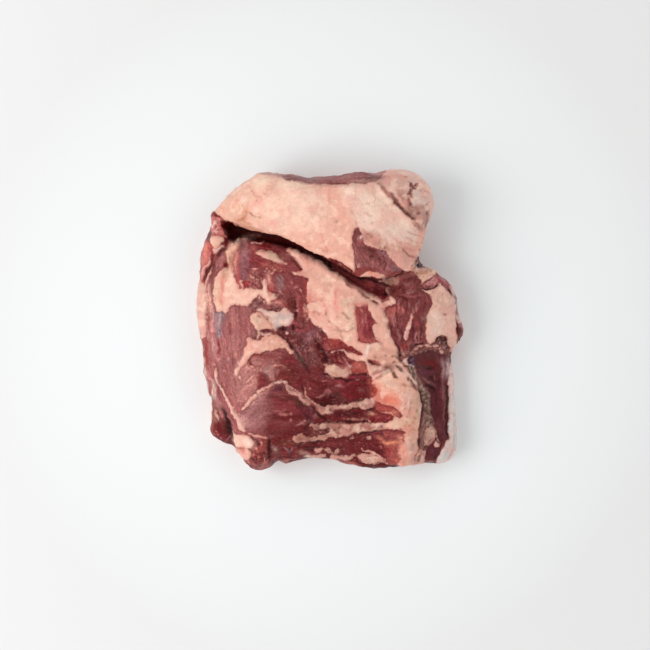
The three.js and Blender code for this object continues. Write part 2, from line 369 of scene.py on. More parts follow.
def measured(line, closed, margin=0.0, chosen=None, onward=False):
    """For the points near a line: numbers, distance from it, place along it, side of it; and its length."""
    near = chosen
    if near is None:
        inside = (seen > line.min(0) - margin) & (seen < line.max(0) + margin)
        near = np.nonzero(inside.all(1) & low_part)[0]
    starts, ends = (line, np.roll(line, -1, 0)) if closed else (line[:-1], line[1:])
    edge = ends - starts
    squared = np.maximum((edge**2).sum(1), 1e-9)
    lengths = np.sqrt(squared)
    before = np.cumsum(lengths) - lengths
    low, high = np.zeros(len(edge)), np.ones(len(edge))
    if onward:
        low[0], high[-1] = -1e6, 1e6
    apart, along, side = (np.zeros(len(near)) for _ in range(3))
    batch = max(1, 1_500_000 // len(edge))
    for first in range(0, len(near), batch):
        rows = slice(first, first + batch)
        offset = seen[near[rows]][:, None, :] - starts
        share = np.clip((offset * edge).sum(2) / squared, low, high)
        gap = ((offset - share[..., None] * edge) ** 2).sum(2)
        best = gap.argmin(1)
        pick = (np.arange(len(best)), best)
        apart[rows] = np.sqrt(gap[pick])
        along[rows] = before[best] + share[pick] * lengths[best]
        if closed:
            y = seen[near[rows], 1][:, None]
            x = seen[near[rows], 0][:, None]
            spans = (starts[:, 1] > y) != (ends[:, 1] > y)
            rate = edge[:, 0] / np.where(edge[:, 1] == 0, 1e-9, edge[:, 1])
            hits = spans & (x < starts[:, 0] + (y - starts[:, 1]) * rate)
            side[rows] = np.where(hits.sum(1) % 2, 1.0, -1.0)
        else:
            turned = edge[best, 0] * offset[pick][:, 1] - edge[best, 1] * offset[pick][:, 0]
            side[rows] = np.where(turned > 0, 1.0, -1.0)
    return near, apart, along, side, before[-1] + lengths[-1]


def mix_in(colours, near, share, tint):
    """Draws the colours of the points near by towards the tint."""
    colours[near] += share[:, None] * (linear(tint) - colours[near])


def stain(near, share, tint):
    """Draws fat and muscle alike towards the tint."""
    mix_in(fat_colour, near, share, tint)
    mix_in(lean_colour, near, share, tint)


def inside_of(outlines, margin):
    """Steps through outlines: the points near each, and how far inside it they lie."""
    for outline in outlines.split("|"):
        near, apart, _, side, _ = measured(run_of(outline, True), True, margin)
        yield near, apart * side


def fat(tint, outlines, soft=1.4, strength=1.0, firm=1.0, tear=None):
    """A layer of fat over what is there. firm below 1 lets its edge fade out over the muscle."""
    for near, depth in inside_of(outlines, max(soft, 3.0)):
        fatness[near] = np.maximum(fatness[near], depth * firm)
        share = strength * ease(depth, -soft, soft)
        mix_in(fat_colour, near, share, tint)
        if tear is not None:
            torn[near] += share * (tear - torn[near])


def lean(tint, outlines, soft=1.4, strength=1.0, along=None, puff=0.0, marble=None, tear=None, firm=1.0):
    """Bare muscle over what is there, with its fibres along a guide line and its middle puffed up. marble is
    how much sinew and fat is in it, and tear how ragged it is, from 0 to 1."""
    for near, depth in inside_of(outlines, max(soft, 3.0)):
        fatness[near] = np.minimum(fatness[near], -depth * firm)
        share = strength * ease(depth, -soft, soft)
        mix_in(lean_colour, near, share, tint)
        rise[near] += puff * (1.0 - np.exp(-np.maximum(depth, 0.0) / PUFF_SLOPE_MM))
        for habit, value in ((marbled, marble), (torn, tear)):
            if value is not None:
                habit[near] += share * (value - habit[near])
        if along:
            within = near[depth > -0.4]
            _, off, run, turn, _ = measured(run_of(along, False), False, chosen=within, onward=True)
            fibre[within] = np.column_stack([run, off * turn])


def blush(tint, outlines, soft=3.0, strength=0.6):
    """A soft patch of another colour, in fat and muscle alike."""
    for near, depth in inside_of(outlines, soft):
        stain(near, strength * ease(depth, -soft, soft), tint)


def spots(tint, text, wide=3.0, strength=0.7):
    """Small round soft dots of another colour."""
    for middle in knots_of(text):
        near = np.nonzero((np.abs(seen - middle) < wide).all(1))[0]
        share = strength * (1.0 - ease(np.hypot(*(seen[near] - middle).T), wide * 0.2, wide * 0.75))
        stain(near, share, tint)


def strip_share(lines, wide, margin):
    """Steps through lines: points near each, distance inside its band, and a share that dies at its ends."""
    for line in lines.split("|"):
        near, apart, along, _, length = measured(run_of(line, False), False, margin)
        ends = np.minimum(along, length - along)
        slim = TIP_WIDTH + (1.0 - TIP_WIDTH) * ease(ends, 0.0, min(TAPER_MM, 0.4 * length))
        yield near, apart, wide / 2 * slim - apart, slim


def thread(tint, lines, wide=1.5, strength=1.0, proud=0.25):
    """A thin string or seam of fat or sinew that lies on the muscle."""
    for near, _, depth, _ in strip_share(lines, wide, wide / 2 + 3.0):
        fatness[near] = np.maximum(fatness[near], np.minimum(depth, LEAN_DEPTH))
        mix_in(fat_colour, near, strength * ease(depth, -0.9, 0.2), tint)
        rise[near] += proud * ease(depth, -0.6, 0.5)


def vein(tint, lines, wide=1.0, strength=0.7):
    """A thin coloured line in what is there."""
    for near, _, depth, slim in strip_share(lines, wide, wide / 2 + 2.0):
        stain(near, strength * slim * ease(depth, -0.7, 0.4), tint)


def wash(tint, lines, wide=4.0, strength=0.7):
    """A broad soft band of another colour, in fat and muscle alike."""
    for near, apart, _, slim in strip_share(lines, wide, wide * 1.2):
        stain(near, strength * slim * np.exp(-1.4 * (apart / (wide * 0.5)) ** 2), tint)


def crease(lines, wide=1.2, deep=0.8, dark=0.7):
    """A seam or cut that is sunk in and bloody; its darkening is partly painted shade in the crease."""
    for near, apart, depth, slim in strip_share(lines, wide, wide * 2 + 2.0):
        blood_and_shade[near] = np.maximum(blood_and_shade[near], dark * slim * ease(depth, -0.8, 0.4))
        rise[near] -= deep * slim * np.exp(-((apart / (wide * 0.9 + 0.4)) ** 2))


def pit(outlines, deep=1.5, dark=0.8, soft=1.0):
    """A sunk hollow, darkened as bloody and with painted shade."""
    for near, depth in inside_of(outlines, soft + 1.0):
        blood_and_shade[near] = np.maximum(blood_and_shade[near], dark * ease(depth, -soft, soft * 0.6))
        rise[near] -= deep * ease(depth, -soft, soft + 1.0)


MAUVE = (165, 100, 98)
PEACH = (243, 187, 166)
SHOULDER = "-110,-120 110,-120 110,120 -110,120"
fat(PEACH, SHOULDER)
fatness[:] = -LEAN_DEPTH
lean(MAUVE, SHOULDER)


# ---- The broad muscles at the left and in the middle -------------------------
# Flat slabs of bare muscle, mauve where a skin of fascia still covers them and dark red where the knife
# opened them. Their fibres run up to the right at the left edge, and down to the right in the middle.
ROSE = (178, 116, 110)
GARNET = (124, 56, 58)
WINE = (95, 30, 36)
UMBER = (118, 66, 66)
lean((164, 99, 97), "-92,14 -74,8 -56,10 -50,0 -48,-20 -44,-40 -50,-52 -58,-62 -66,-70 -74,-78 -84,-82 "
    "-94,-50", along="-80,12 -76,-22 -70,-50 -60,-78", puff=0.6, marble=0.45)
wash((184, 118, 112), "-79,-14 -77,-30|-68,-8 -66,-24|-72,-40 -67,-56|-70,4 -67,-4", 7, 0.6)
wash((146, 78, 78), "-74,-26 -72,-46 -69,-54|-62,-2 -60,-10|-71,-2 -70,-12", strength=0.65)
wash((150, 64, 62), "-88,-13 -86,-33", 2.6, 0.8)
wash((236, 214, 200), "-91,-10 -88,-30", 2.2, 0.8)
wash((194, 148, 142), "-82,-12 -82,-18 -82,-23", 2.4)
wash((140, 62, 64), "-78,-13 -78,-19 -77,-25", 2.2, 0.8)
wash((226, 170, 168), "-86,-36 -84,-40 -82,-42", 1.5, 0.8)
wash((186, 122, 120), "-58,-44 -62,-48 -64,-54", 5, 0.5)
spots((218, 152, 146), "-71,-27 -74,-35 -77,-28 -81,-31 -64,-57", 1.7)
spots((206, 128, 112), "-66,-24 -66,-26", 2.4, 0.6)
lean(ROSE, "-66,-38 -62,-33 -56,-27 -42,-21 -34,-20 -27,-24 -28,-34 -34,-38 -40,-45 -48,-49 -58,-57 -64,-56",
    3, along="-64,-44 -44,-32 -20,-36", puff=1, marble=0.5)
lean((140, 72, 72), "-50,-24 -42,-22 -34,-21 -27,-24 -26,-30 -32,-31 -40,-29 -48,-28", 2.5, 0.9,
    along="-56,-28 -44,-23 -26,-24")
lean(GARNET, "-38,-33 -30,-24 -25,-24 -21,-29 -16,-38 -13,-46 -14,-54 -18,-56 -24,-54 -30,-47 -37,-43 "
    "-37,-36", 2.5, along="-50,-34 -30,-36 -12,-40", marble=0.2)
lean((122, 58, 56), "-36,-34 -26,-33 -22,-40 -28,-44 -36,-42", 2.5, 0.9)
wash((112, 42, 44), "-24,-44 -19,-40 -17,-33", strength=0.6)
wash((128, 30, 30), "-56.5,-26.5 -55,-28.5 -55,-31|-56,-25 -52.5,-24", 1.8, 0.85)
wash((176, 104, 98), "-50,-27 -46,-30 -44,-33|-40,-24 -34,-24", 2.5, 0.6)
wash((216, 150, 140), "-60,-32 -57,-34 -50,-34", 2.6, 0.75)
vein((112, 30, 28), "-58,-24 -56,-28 -54,-34", 1.7, 0.8)
wash((228, 160, 140), "-40,-31.5 -37,-31.5 -34.5,-32.5", 1.8, 0.85)
blush((170, 120, 114), "-46,-33 -41,-32 -40,-38 -44,-40 -46,-37", 1.6, 0.85)
wash((212, 142, 128), "-36.5,-35 -37,-38|-33,-44 -34.5,-41.5", 1.6, 0.5)
lean((132, 58, 60), "-49,-36 -43,-42 -40,-44 -41,-46 -46,-48 -51,-49 -50,-43", 1.6)
thread((216, 150, 140), "-36,-32 -34,-32 -30,-34|-29.5,-35 -27.5,-35.5", 0.8)
thread((220, 158, 146), "-65,-38 -63,-40 -62,-44|-58,-44 -54,-40 -52,-38", 1.3)
thread((206, 140, 132), "-53.5,-33 -56,-32.5|-52,-44 -51,-41|-48.5,-33 -48,-36", 0.9)
lean(UMBER, "-36,-6 -26,-3 -16,-2 -10,-3 -3,-12 -1,-20 2,-30 -6,-31 -14,-36 -20,-30 -31,-15", 2,
    along="-36,0 -20,-16 -4,-40", marble=0.3, tear=0.45)
for ruddy, where, size in (
    ((142, 92, 96), "-17,-7 -15,-11 -16,-16|-12,-7 -11.5,-11", 4.5),
    ((176, 110, 110), "-27,-15.5 -25,-14.5|-23,-11 -21.5,-9.5|-14,-18 -12.5,-22", 2.6),
    ((96, 44, 50), "-22,-0.5 -20,-2|-18.5,-8.5 -16.5,-8|-19,-17.5 -15.5,-17|-12,-14 -10.5,-16|-27.5,-11 "
        "-26,-12.5|-8,-20 -7,-24", 2),
    ((190, 98, 94), "-19.5,-1 -18,-2.5 -17,-1|-22,-12.5 -20.5,-14", 1.5),
    ((112, 18, 22), "-23,-14 -22.5,-16.5 -24.5,-17.5|-29,-8.5 -27.5,-9.5|-15.5,-22 -14.5,-25", 1.3),
    ((130, 66, 68), "-20,-22 -16,-27|-22.5,-25.5 -19,-30", 3),
    ((192, 120, 122), "-24,-18 -22,-22 -20,-25|-9,-9 -8,-12|-19,-19.5 -17.5,-22", 1),
):
    wash(ruddy, where, size, 0.85)
lean(GARNET, "-20,-36 -14,-33 -6,-34 0,-39 8,-40 18,-40 28,-41 32,-48 31,-55 24,-58 10,-58 -6,-61 -16,-58 "
    "-18,-48", 2, along="-20,-44 0,-50 30,-50", marble=0.3, tear=0.15)
wash((96, 36, 42), "-14,-42 -4,-46 8,-47|-14,-56 -4,-56 6,-56", strength=0.6)
wash((146, 72, 72), "-18,-38 -8,-40 0,-42|8,-44 20,-44|10,-51 22,-50", 3, 0.5)
lean(WINE, "-11,-16 -7,-16 -4,-22 -1,-28 0,-31 -5,-30 -9,-24", 1.2)
lean((85, 22, 30), "-13,-54 -8,-54 6,-50 12,-52 11,-57 4,-58 -6,-58 -12,-57", 1.6, 0.85)
crease("-8,-16 -1,-30", 1.7, 1.1, 0.93)
crease("-12,-12 -9.5,-14.5 -7.5,-16.5")
crease("-24,-22 -19,-28 -15,-35 -14,-38", 1.6, 1, 0.5)
blush((116, 102, 88), "-24,-22 -22,-24 -19,-26 -18,-30 -22,-26", 0.9, 0.8)
wash((104, 58, 64), "-7,-38.5 -4,-40 -2,-42.5", strength=0.8)
wash((82, 14, 28), "-9,-56 -4,-57 1,-58", 4.4, 0.85)
wash((96, 32, 34), "-8,-49 -5,-48 -2,-47|0,-43 3,-45", 2.6)
spots((212, 142, 132), "-14,-48", 1.9)

# ---- The flap of fat cover ---------------------------------------------------
# The shoulder's outer fat, folded over the far end so that it lies fat side up: 4 to 8 mm of firm cream
# and pink fat with fine vessels in it, cut to a ragged lip that hangs over the fold.
SALMON = (232, 152, 134)
ROAN = (210, 150, 132)
fat(PEACH, "-86,79 -80,86 -74,94 -66,101 -53,108 -44,112 -30,112 30,112 45,113 62,110 76,103 80,90 80,78 "
    "76,70 73,66 72,58 70,50 67,45 61,41 62,36 65,36 61,34 57,34 52,34 48,32 40,30 38,31 37,28 34,28 31,28 "
    "29,30 25,29 20,30 17,33 9,37 4,41 0,40 -7,44 -12,46 -15,48 -30,56 -34,59 -41,60 -54,61 -62,66 -73,70 "
    "-76,72 -80,74")
blush((234, 188, 162), "-82,74 -66,68 -56,72 -52,88 -58,98 -74,90", 5, 0.8)
blush((247, 198, 177), "-60,90 -40,100 -36,84 -40,68 -54,64 -58,76", 6, 0.7)
blush((255, 206, 186), "-22,92 -2,92 0,72 -4,58 -20,62", 6, 0.75)
# Painted light: the flap's right part is painted paler than its fat, where it turns away from the window.
blush((255, 226, 210), "10,96 34,96 45,86 56,68 60,56 40,54 22,64 14,80", 6, 0.95)
blush((214, 164, 152), "44,52 56,50 64,46 62,38 50,36 44,44", 4, 0.8)
blush((240, 203, 190), "40,104 70,104 74,80 62,74 48,84 38,94", 5, 0.95)
blush((222, 184, 170), "46,101 58,99 60,94 50,92 44,97|58,78 68,78 66,66 60,68")
# Painted light: the flap's far left is painted paler where it curves away from the light.
wash((255, 224, 198), "-54,95 -42,97 -16,92", 9, 0.95)
wash((206, 178, 172), "-80,80 -69,90 -56,100 -50,102", 3.4, 0.8)
vein((156, 118, 122), "-62,96 -59,98 -55,100", strength=0.8)
wash((238, 160, 140), "-77,78.5 -73,77.5", 2.6)
wash((226, 150, 120), "-66,71 -61,71 -57,72|-62,74 -58,76 -59,79", 3.6, 0.8)
wash((206, 136, 108), "-65,70 -61,70 -54,66", 1.6)
vein(ROAN, "-57,94 -56,92 -52,87 -50,82|-52,87 -49,86 -46,85 -40,88|-48,82 -45,82 -42,82|-48,88.5 -45,88 "
    "-44,89.5|-36,89 -34,88.5 -32,85|-42,80 -39,79|-45.5,79 -44.5,77 -45.5,75 -45,74|-43,76 -41,73|-36,78 "
    "-33,76.5|-19,90 -15,88", 0.8, 0.65)
vein((160, 105, 75), "-58,76 -56,75 -52,72 -48,72|-51,83.5 -50.5,82.5", 0.9, 0.8)
vein(SALMON, "-66,83 -63,81|-76,78 -73,77.5|-16,88 -14,86|-17,70 -17,66|0,93 -1,86 1,76|2,78 2,73|-8,68 "
    "-6,63 -6,58 -2,50 -3,47|0,47 3,43 6,40|10,60 10,54|27,76 25,73|33,86 34,83", 1.4, 0.5)
vein((212, 142, 126), "17.5,70.5 18.5,67.5 18,65|15,78.5 16.5,73|22,76 26,74 30,72", 1.1)
# Painted light: pale streaks where the flap turns away from the window.
wash((255, 232, 212), "25,88 32,81 39,75|34,72 42,66 50,59|20,84 26,77", 2.2, 0.5)
wash((226, 186, 170), "29,84 37,77 44,71|38,68 46,62|0,78 0,70", 1.6, 0.5)
vein((164, 110, 90), "30,57 30,54 32,51|35,57 36.5,53.5|33,60 36,58.5", 1.2, 0.6)
spots(SALMON, "-5,78 -5,77 -12,73 -17,84 -66,83 -38,68", 3.4, 0.5)
spots((175, 140, 125), "-20,70 5,69 28,60 34,52 30,68", 2.2, 0.5)
spots((255, 222, 205), "-52,77 -37,75 -30,92 33,65 36,58 10,88 -60,84", 5, 0.6)
blush((205, 142, 116), "-67,70 -55,66 -47,62 -43,60 -48,60 -58,62 -62,66", 1, 0.8)
crease("-66,70 -62,70 -58,74 -58,76", 1, 0.5, 0.25)
vein((138, 78, 68), "47,54 50,50 56,45 60,43", 1.2, 0.85)
crease("50,50 53,48 56,45 58,44", 0.8, 0.5, 0.3)
vein((208, 134, 120), "44,57 50,54 56,52|42,52 58,49 63,49|51,58 58,55 64,54|52,62 58,60 64,58|-4,55 -3,52 "
    "-2,49", strength=0.55)
spots((120, 70, 62), "62,49 34,50 36,48", 1.8)
blush((216, 166, 156), "48,44 52,44 52,40 48,40", 1.5)

# The strip of muscle that shows along the back edge, under a thin grey-pink skin.
lean((150, 92, 90), "-36,109 -35,103 -31,98 -25,98 -15,96 5,95 25,96 30,96 35,100 36,109", 1,
    along="-40,98 0,97 40,98")
lean((152, 112, 110), "-34,104 -30,100 -18,98 -9,96 -9,103", 2, 0.8)
crease("-30,98 -25,98 -20,96 -5,95 25,96 31,97", 0.8, 0.5, 0.5)
blush((178, 128, 128), "-52,108 -50,102 -40,101 -35,100 -31,100 -31,110", 1, 0.85)
wash((106, 54, 56), "24,100 29,100 33,101", 3)
blush((196, 150, 144), "29,104 38,104 38,102 30,102", 0.8, 0.7)
blush((140, 108, 116), "34,101 38,101 42,100 42,98 36,98 34,99", 0.8, 0.85)

# The bare muscle in the flap's near end, where a slip of fat was cut off, and its pale cut lip.
lean((148, 88, 86), "18,64 20,64 22,60 24,57 25,53 32,50 38,49 40,46 48,38 52,34 47,32 42,30 38,30 38,31 "
    "32,34 27,36 22,33 19,32 18,34 17,41 16,54 16,58", 0.9, along="17,66 19,50 24,38 32,30", puff=-0.5,
    marble=0.3)
for ruddy, where, size in (
    ((112, 60, 60), "19,63 19,60 21,56", 4),
    ((190, 132, 126), "19,58 21,56.5", 2.4),
    ((84, 26, 32), "26,50 30,48 32,46|28,46 31.5,42", 4.8),
    ((70, 26, 30), "34,46 37,42 38,37", 3.4),
    ((150, 106, 116), "34,49 38,47 42,43", 3.2),
    ((140, 102, 104), "42,38 46,36 49,35", 4.4),
    ((64, 18, 20), "38,30 43,31 50,34", 3),
    ((98, 46, 48), "36,45 38,41 39,38 37,34", 1.4),
    ((100, 48, 50), "33,44 35,40 35,36", 1.4),
    ((172, 106, 104), "34,46 37,42 38,38 36,34", 1),
    ((170, 104, 104), "38,44 41,40 40,36", 1),
    ((196, 122, 116), "30,43 30,40 30,36", 1),
    ((170, 106, 106), "18,50 18,44 19,38|22,50 22,44", 1.2),
):
    wash(ruddy, where, size, 0.85)
lean((64, 20, 24), "37,30 37,28 45,29 53,34 52,35 50,34 42,30 39,30", 0.6)
spots((252, 218, 208), "22,58", 1.9, 1)
spots((205, 150, 144), "20,38", 1.8, 0.8)
spots((74, 46, 54), "34,50 36,49", 1.7, 0.9)
blush((240, 188, 170), "19,32 22,33 27,36 36,32 39,30 38,28 30,29 24,30", 0.7, 0.9)
wash((238, 140, 120), "26,34 30,32 34,31", 3.4, 0.85)
vein((180, 88, 82), "38,30 46,32 50,34")
blush((264, 228, 206), "-46,82 -34,90 -18,90 -4,86 -5,70 -20,64 -36,62 -44,68", 5)
# Painted shade along the flap's far edge, below the strip of muscle.
wash((204, 154, 140), "-12,94 4,93.5 14,94 28,94.5", 3, 0.8)
wash((206, 138, 122), "-9,51 -3.5,49 1,45.5")
wash((116, 66, 66), "22,99 30,99.5 38,99.5", 3, 0.8)
# Painted light: the flap's right part is painted paler than its fat, where it turns away from the window.
blush((268, 232, 210), "14,93 34,94 44,86 56,72 58,66 46,64 32,70 20,82", 6, 0.75)
blush((192, 136, 124), "23,63 29,60 36,56 42,50 40,48 34,51 27,54 24,58", 1.4, 0.8)
spots((118, 66, 60), "29,58 32,55 35,53 38,51 26,60", 1.6)
# Painted shade: the lip's rim is painted dark like the shaded gap, so the lip seems to end higher.
lean((96, 36, 34), "-10,46 -6,45 -2,43.5 2,43 6,41.5 9.5,39 14,36 17.5,33.5 20,31.5 19,29 12,33 4,36 -4,40 "
    "-10,43", 0.7, tear=0.5)
lean((138, 68, 66), "17,36 17,33 19,30 23,31.5 27,34 32,33.5 31,36.5 24,37 19,37", 0.7)
# Painted shade: the gap's shadow below the slip of fat.
lean((76, 22, 26), "20,30.5 24,30 28,30 31,30.5 34,29.5 37,28 36,26 28,27 21,28.5", 0.6)
wash((160, 104, 100), "22,63 24,58 26,54", 2.6, 0.6)
wash((216, 160, 148), "40,62 46,56|58,80 64,76", strength=0.6)
wash((244, 156, 132), "26,33.5 31,32 36,31.5", 2.4)
wash((208, 142, 124), "28,64 34,58 40,53", 6, 0.5)
wash((244, 190, 168), "-46,80 -38,78", 6, 0.6)

# ---- The knob at the flap's end ----------------------------------------------
# A rounded lump of the same fat, squeezed out beyond the crease that the fold pulls in, with a few bits
# of torn brown-red muscle caught in it.
wash((206, 160, 146), "40,101 47,100 52,96", 6, 0.75)
wash((232, 184, 164), "61,82 62,79 61,76", 3.6)
CLEFT = "42,88 44,88 50,80 58,73 60,70 58,71 52,76 47,80 44,84"
# The cleft is darkened and browned, partly with painted shade in the crease.
pit(CLEFT, deep=1.4, dark=0.4, soft=1.2)
blush((140, 94, 80), CLEFT, 0.9, 0.9)
crease("44,84 47,81 58,71 60,70", deep=1, dark=0.84)
crease("59.5,69.5 61,67.5 63.5,64", 0.9, dark=0.4)
vein((112, 74, 64), "36,94 40,88 43,86", 2.2, 0.85)
vein((188, 118, 106), "56,70 60,66 64,62", 0.9)
vein((160, 88, 76), "49.5,101.5 50.5,100 52,99.5 54.5,100", 1.3)
vein((124, 66, 62), "54,96 56,95 56,93 59,93 60,95 60,92 57,92 56,89 57,86 55,88 54,85 57,80 58,80", 2.1,
    0.95)
vein((162, 106, 96), "62,91 67,90 69,88|56,80 61,78 66,80 69,82|64,66 66,65")
vein((104, 54, 48), "61,76.5 62,75.5 61,74 62.5,73", 1.4, 0.95)
vein((78, 62, 60), "67,75.5 68.5,73|67,73 68.5,75", 1.3, 0.85)
blush((116, 84, 88), "65,64 66,64 68,68 68,72 70,76 68,76 66,68", 0.7, 0.85)
blush((232, 206, 194), "58,88 61,90 66,88 67,84 66,81 60,80 58,83", 1.8, 0.75)
blush((90, 62, 70), "62,44 59,39 60,37 62,36 66,36 64,40 62,43", 0.8, 0.95)
pit("61,43 60,40 60,37 64,36 62,42", deep=1.2, dark=0.35)
blush((196, 148, 136), "31,99 40,99 48,96 54,91 56,85 51,84 45,90 37,94", 2.5, 0.75)
wash((144, 94, 86), "48,89 54,80 59,73|32,97 40,89 46,83 53,76", 4.4, 0.75)
blush((178, 130, 120), "58,75 60,80 66,78 68,70 64,61 60,66", 2)
vein((120, 60, 60), "57,90 54,88 55,84 58,80|61,76 62,74", 1.5, 0.75)
wash((226, 178, 162), "61,81 65,76", strength=0.6)

# ---- The fold's dark gap -----------------------------------------------------
# The hollow under the flap's lip, wet with blood, and the wine-red band of muscle that comes out of it
# beside the sheet of fat in the middle. Their muscle is painted brighter than it is, as painted light
# against the gap's deep shade, and lines and pits of painted shade run along the gap.
HOLLOW = (
    "-74,51 -72,50 -70,52 -67,54 -61,58 -58,59 -56,60 -54,56 -46,54 -44,53 -36,52 -31,50 -29,50 -25,50 "
    "-18,47 -15,46 -4,38 0,36 5,38 9,36 12,35 14,33 18,30 25,28 30,29 35,26 38,33 30,44 10,54 -20,64 -50,70 "
    "-72,70 -80,60"
)
LIP_MM = 46.0
low_part[:] = place[:, 2] < LIP_MM
# Painted light: the hollow's muscle is painted brighter than it is, against the gap's shade.
lean((132, 54, 54), HOLLOW, 0.8)
# Painted shade in the gap, with no sinking.
pit("-71,50 -67,54 -61,58 -56,60 -46,54 -33,50 -25,50 -12,44 -5,39 3,38 -2,46 -14,54 -28,62 -40,66 -60,68 "
    "-72,62", deep=0, dark=0.25, soft=0.9)
# Painted light: the band is painted brighter than its muscle, where the gap's shade falls on it.
lean((222, 106, 106), "0,39 2,40 5,40 9,37 12,36 14,34 17,32 20,29 25,28 30,29 33,26 36,26 39,24 40,21 39,20 "
    "41,18 42,16 38,13 29,18 24,20 9,28 1,34", 1, along="0,38 20,26 40,16")
# Painted shade: a pit and a dark line where the gap's shadow lies along the band.
pit("4,40 9,37 18,31 25,28 30,29 36,25 30,26 25,26 19,28 8,36 3,38", deep=0.6, dark=0.25)
vein((64, 16, 20), "8,36 16,32 22,29.5 28,28.5 33,26.5 38,25.5 44,24", 2.6, 0.9)
low_part[:] = True
lean((150, 66, 70), "32,26 36,25 40,22 41,18 39,15 36,14 32,16 30,19 30,23")
vein((84, 30, 34), "40,22 38,16 36,14", 2, 0.8)
vein((150, 76, 78), "8,32 14,28 20,24|24,22 30,20|34,20 37,18", 1.2, 0.5)
wash((148, 88, 76), "5,39 8,38 14,34", 1.7)
vein((150, 126, 122), "-53,57.5 -51.5,56.5|-47,54.5 -45,55", strength=0.8)
fat((172, 134, 116), "34,27 38,28 47,30 50,30 49,28 45,24 43,24 38,26", 0.8)
fat((237, 192, 176), "40,23 42,18 44,17 46,12 40,8 36,10 30,16 33,16 38,12 42,16 39,20", 0.8)
# Painted shade under the lip, along the top edge of the sheet of fat.
vein((64, 18, 20), "-28,51.5 -22,49 -16,46.8 -10,43.6 -4,39.6 2,36.6", 1.6, 0.9)

# ---- The shank stump and the fat at the left edge ----------------------------
# Where the shank was cut off: a post of dark torn flesh with two lumps of fat, and below it the rim of
# fat that runs down the left side.
lean((188, 104, 100), "-94,60 -88,72 -82,74 -79,72 -75,69 -71,67 -71,62 -73,52 -73,44 -76,36 -78,30 -95,30",
    along="-84,76 -82,50 -82,30", marble=0.1)
lean((196, 116, 108), "-84,63 -82,66 -80,70 -78,71 -75,70 -74,64 -72,62 -72,59 -76,58 -79,60 -83,59", 1,
    marble=0.2, tear=0.45)
wash((176, 84, 88), "-77,66 -74,62 -73,60", 3, 0.8)
spots((222, 150, 140), "-82,65 -80,68 -79,64 -82,62 -78,62", 2.6)
spots((150, 66, 66), "-80,66 -78,68 -78,63 -76,64", 2)
lean((120, 10, 18), "-84,76 -82,78 -81,76 -78,73 -75,70 -77,71 -80,72 -81,72 -83,73", 0.6)
lean((96, 12, 20), "-76,70 -71,69 -68,68 -68,66 -71,62 -74,64 -76,66", 0.8)
lean((100, 16, 34), "-76,58 -73,58 -70,59 -71,54 -74,52 -75,57", 0.8)
fat((236, 190, 168), "-84,58 -82,59 -77,58 -74,56 -77,52 -80,50 -82,52 -84,54", 1)
wash((214, 156, 132), "-83,53 -80,52 -77,52 -76,54", 2)
vein((222, 160, 146), "-79,57.5 -78.5,55 -79.5,53", 0.9, 0.5)
lean((96, 24, 24), "-76,54.5 -74.5,55 -74.5,51.5 -76,52.5", 0.7)
fat((230, 172, 162), "-82,50 -79,50 -75,52 -74,51 -76,48 -82,46 -82,48", 0.9)
vein((246, 210, 204), "-82,48 -76,50 -75,52", 1.3)
crease("-84,64 -86,60 -86,58 -85,56", 1.7, dark=0.5)
vein((100, 14, 18), "-84,64 -86,57 -84,54", 2, 0.85)
wash((150, 98, 108), "-87,62 -90,48 -91,33", 3.6, 0.9)
wash((214, 124, 106), "-86,54 -88,38", 4.2)
wash((204, 100, 92), "-84,54 -84,50 -85,46", 2.4)
wash((132, 38, 40), "-83,50 -83,41 -84,40", 2.2, 0.85)
thread((226, 164, 150), "-84,44 -84,41 -86,38 -88,36 -90,28", 1.4)
lean((214, 134, 122), "-92,34 -90,33 -88,26 -88,23 -93,24", 1.2, marble=0)
crease("-82,39 -86,34 -88,28", 2, 1.6, 0.5)
vein((104, 10, 10), "-82,40 -86,34 -89,26", 2.2, 0.9)
crease("-74,52 -75,49 -79,44 -80,42", 2.6, 2, 0.78)
lean((138, 80, 78), "-80,42 -78,39 -81,28 -82,20 -82,14 -86,14 -86,22 -86,29 -82,40", 1, along="-80,44 "
    "-83,30 -84,14", marble=0.1)
wash((166, 92, 86), "-84,25 -85,20 -85,16", 2.2)
wash((112, 62, 60), "-81,41 -82,36 -84,30", 1.6)
thread((222, 168, 156), "-82,38 -84,34 -88,22", 1.3)
lean((168, 104, 102), "-75,48 -79,42 -80,38 -81,27 -77,33 -74,35 -73,42 -73,45", 0.9, along="-74,48 -78,36 "
    "-81,26", marble=0.1)
wash((186, 122, 116), "-76,44 -75,40 -76,36", 2.2, 0.6)
wash((146, 88, 90), "-78,42 -79,38 -80,33", 1.8, 0.6)
fat((226, 182, 166), "-95,26 -88,24 -86,16 -85,6 -86,-2 -88,-18 -96,-22", 1.5)
wash((236, 190, 172), "-91,20 -90,12 -89,4")
fat((208, 158, 150), "-97,0 -88,0 -87,-10 -88,-20 -97,-20", 2.5)
lean((152, 86, 82), "-86,10 -84,12 -84,0 -84,-12 -86,-11", 0.7)
vein((200, 140, 135), "-82,11 -82,0 -82,-10|-85,13 -86,8|-86,0 -85,-15", 1.5)
lean((152, 124, 127), "-80,6 -74,6 -75,-3 -76,-12 -79,-12 -80,-3", 1, marble=0.1)
lean((168, 98, 94), "-89,-14 -85,-14 -84,-30 -84,-42 -87,-40 -88,-28", 1.2, 0.8)
fat((206, 178, 164), "-94,-12 -90,-12 -89,-20 -88,-28 -90,-33 -95,-30", 0.8, firm=0.6)
wash((146, 62, 60), "-87,-13 -86,-26 -85,-32", 2.4, 0.9)
wash((190, 142, 136), "-82,-12 -82,-18 -82,-22", 2.2)
wash((136, 56, 58), "-78,-13 -78,-19 -77,-25", 2, 0.85)
wash((196, 134, 134), "-80,-13 -80,-20 -80,-27", 1.6, 0.6)
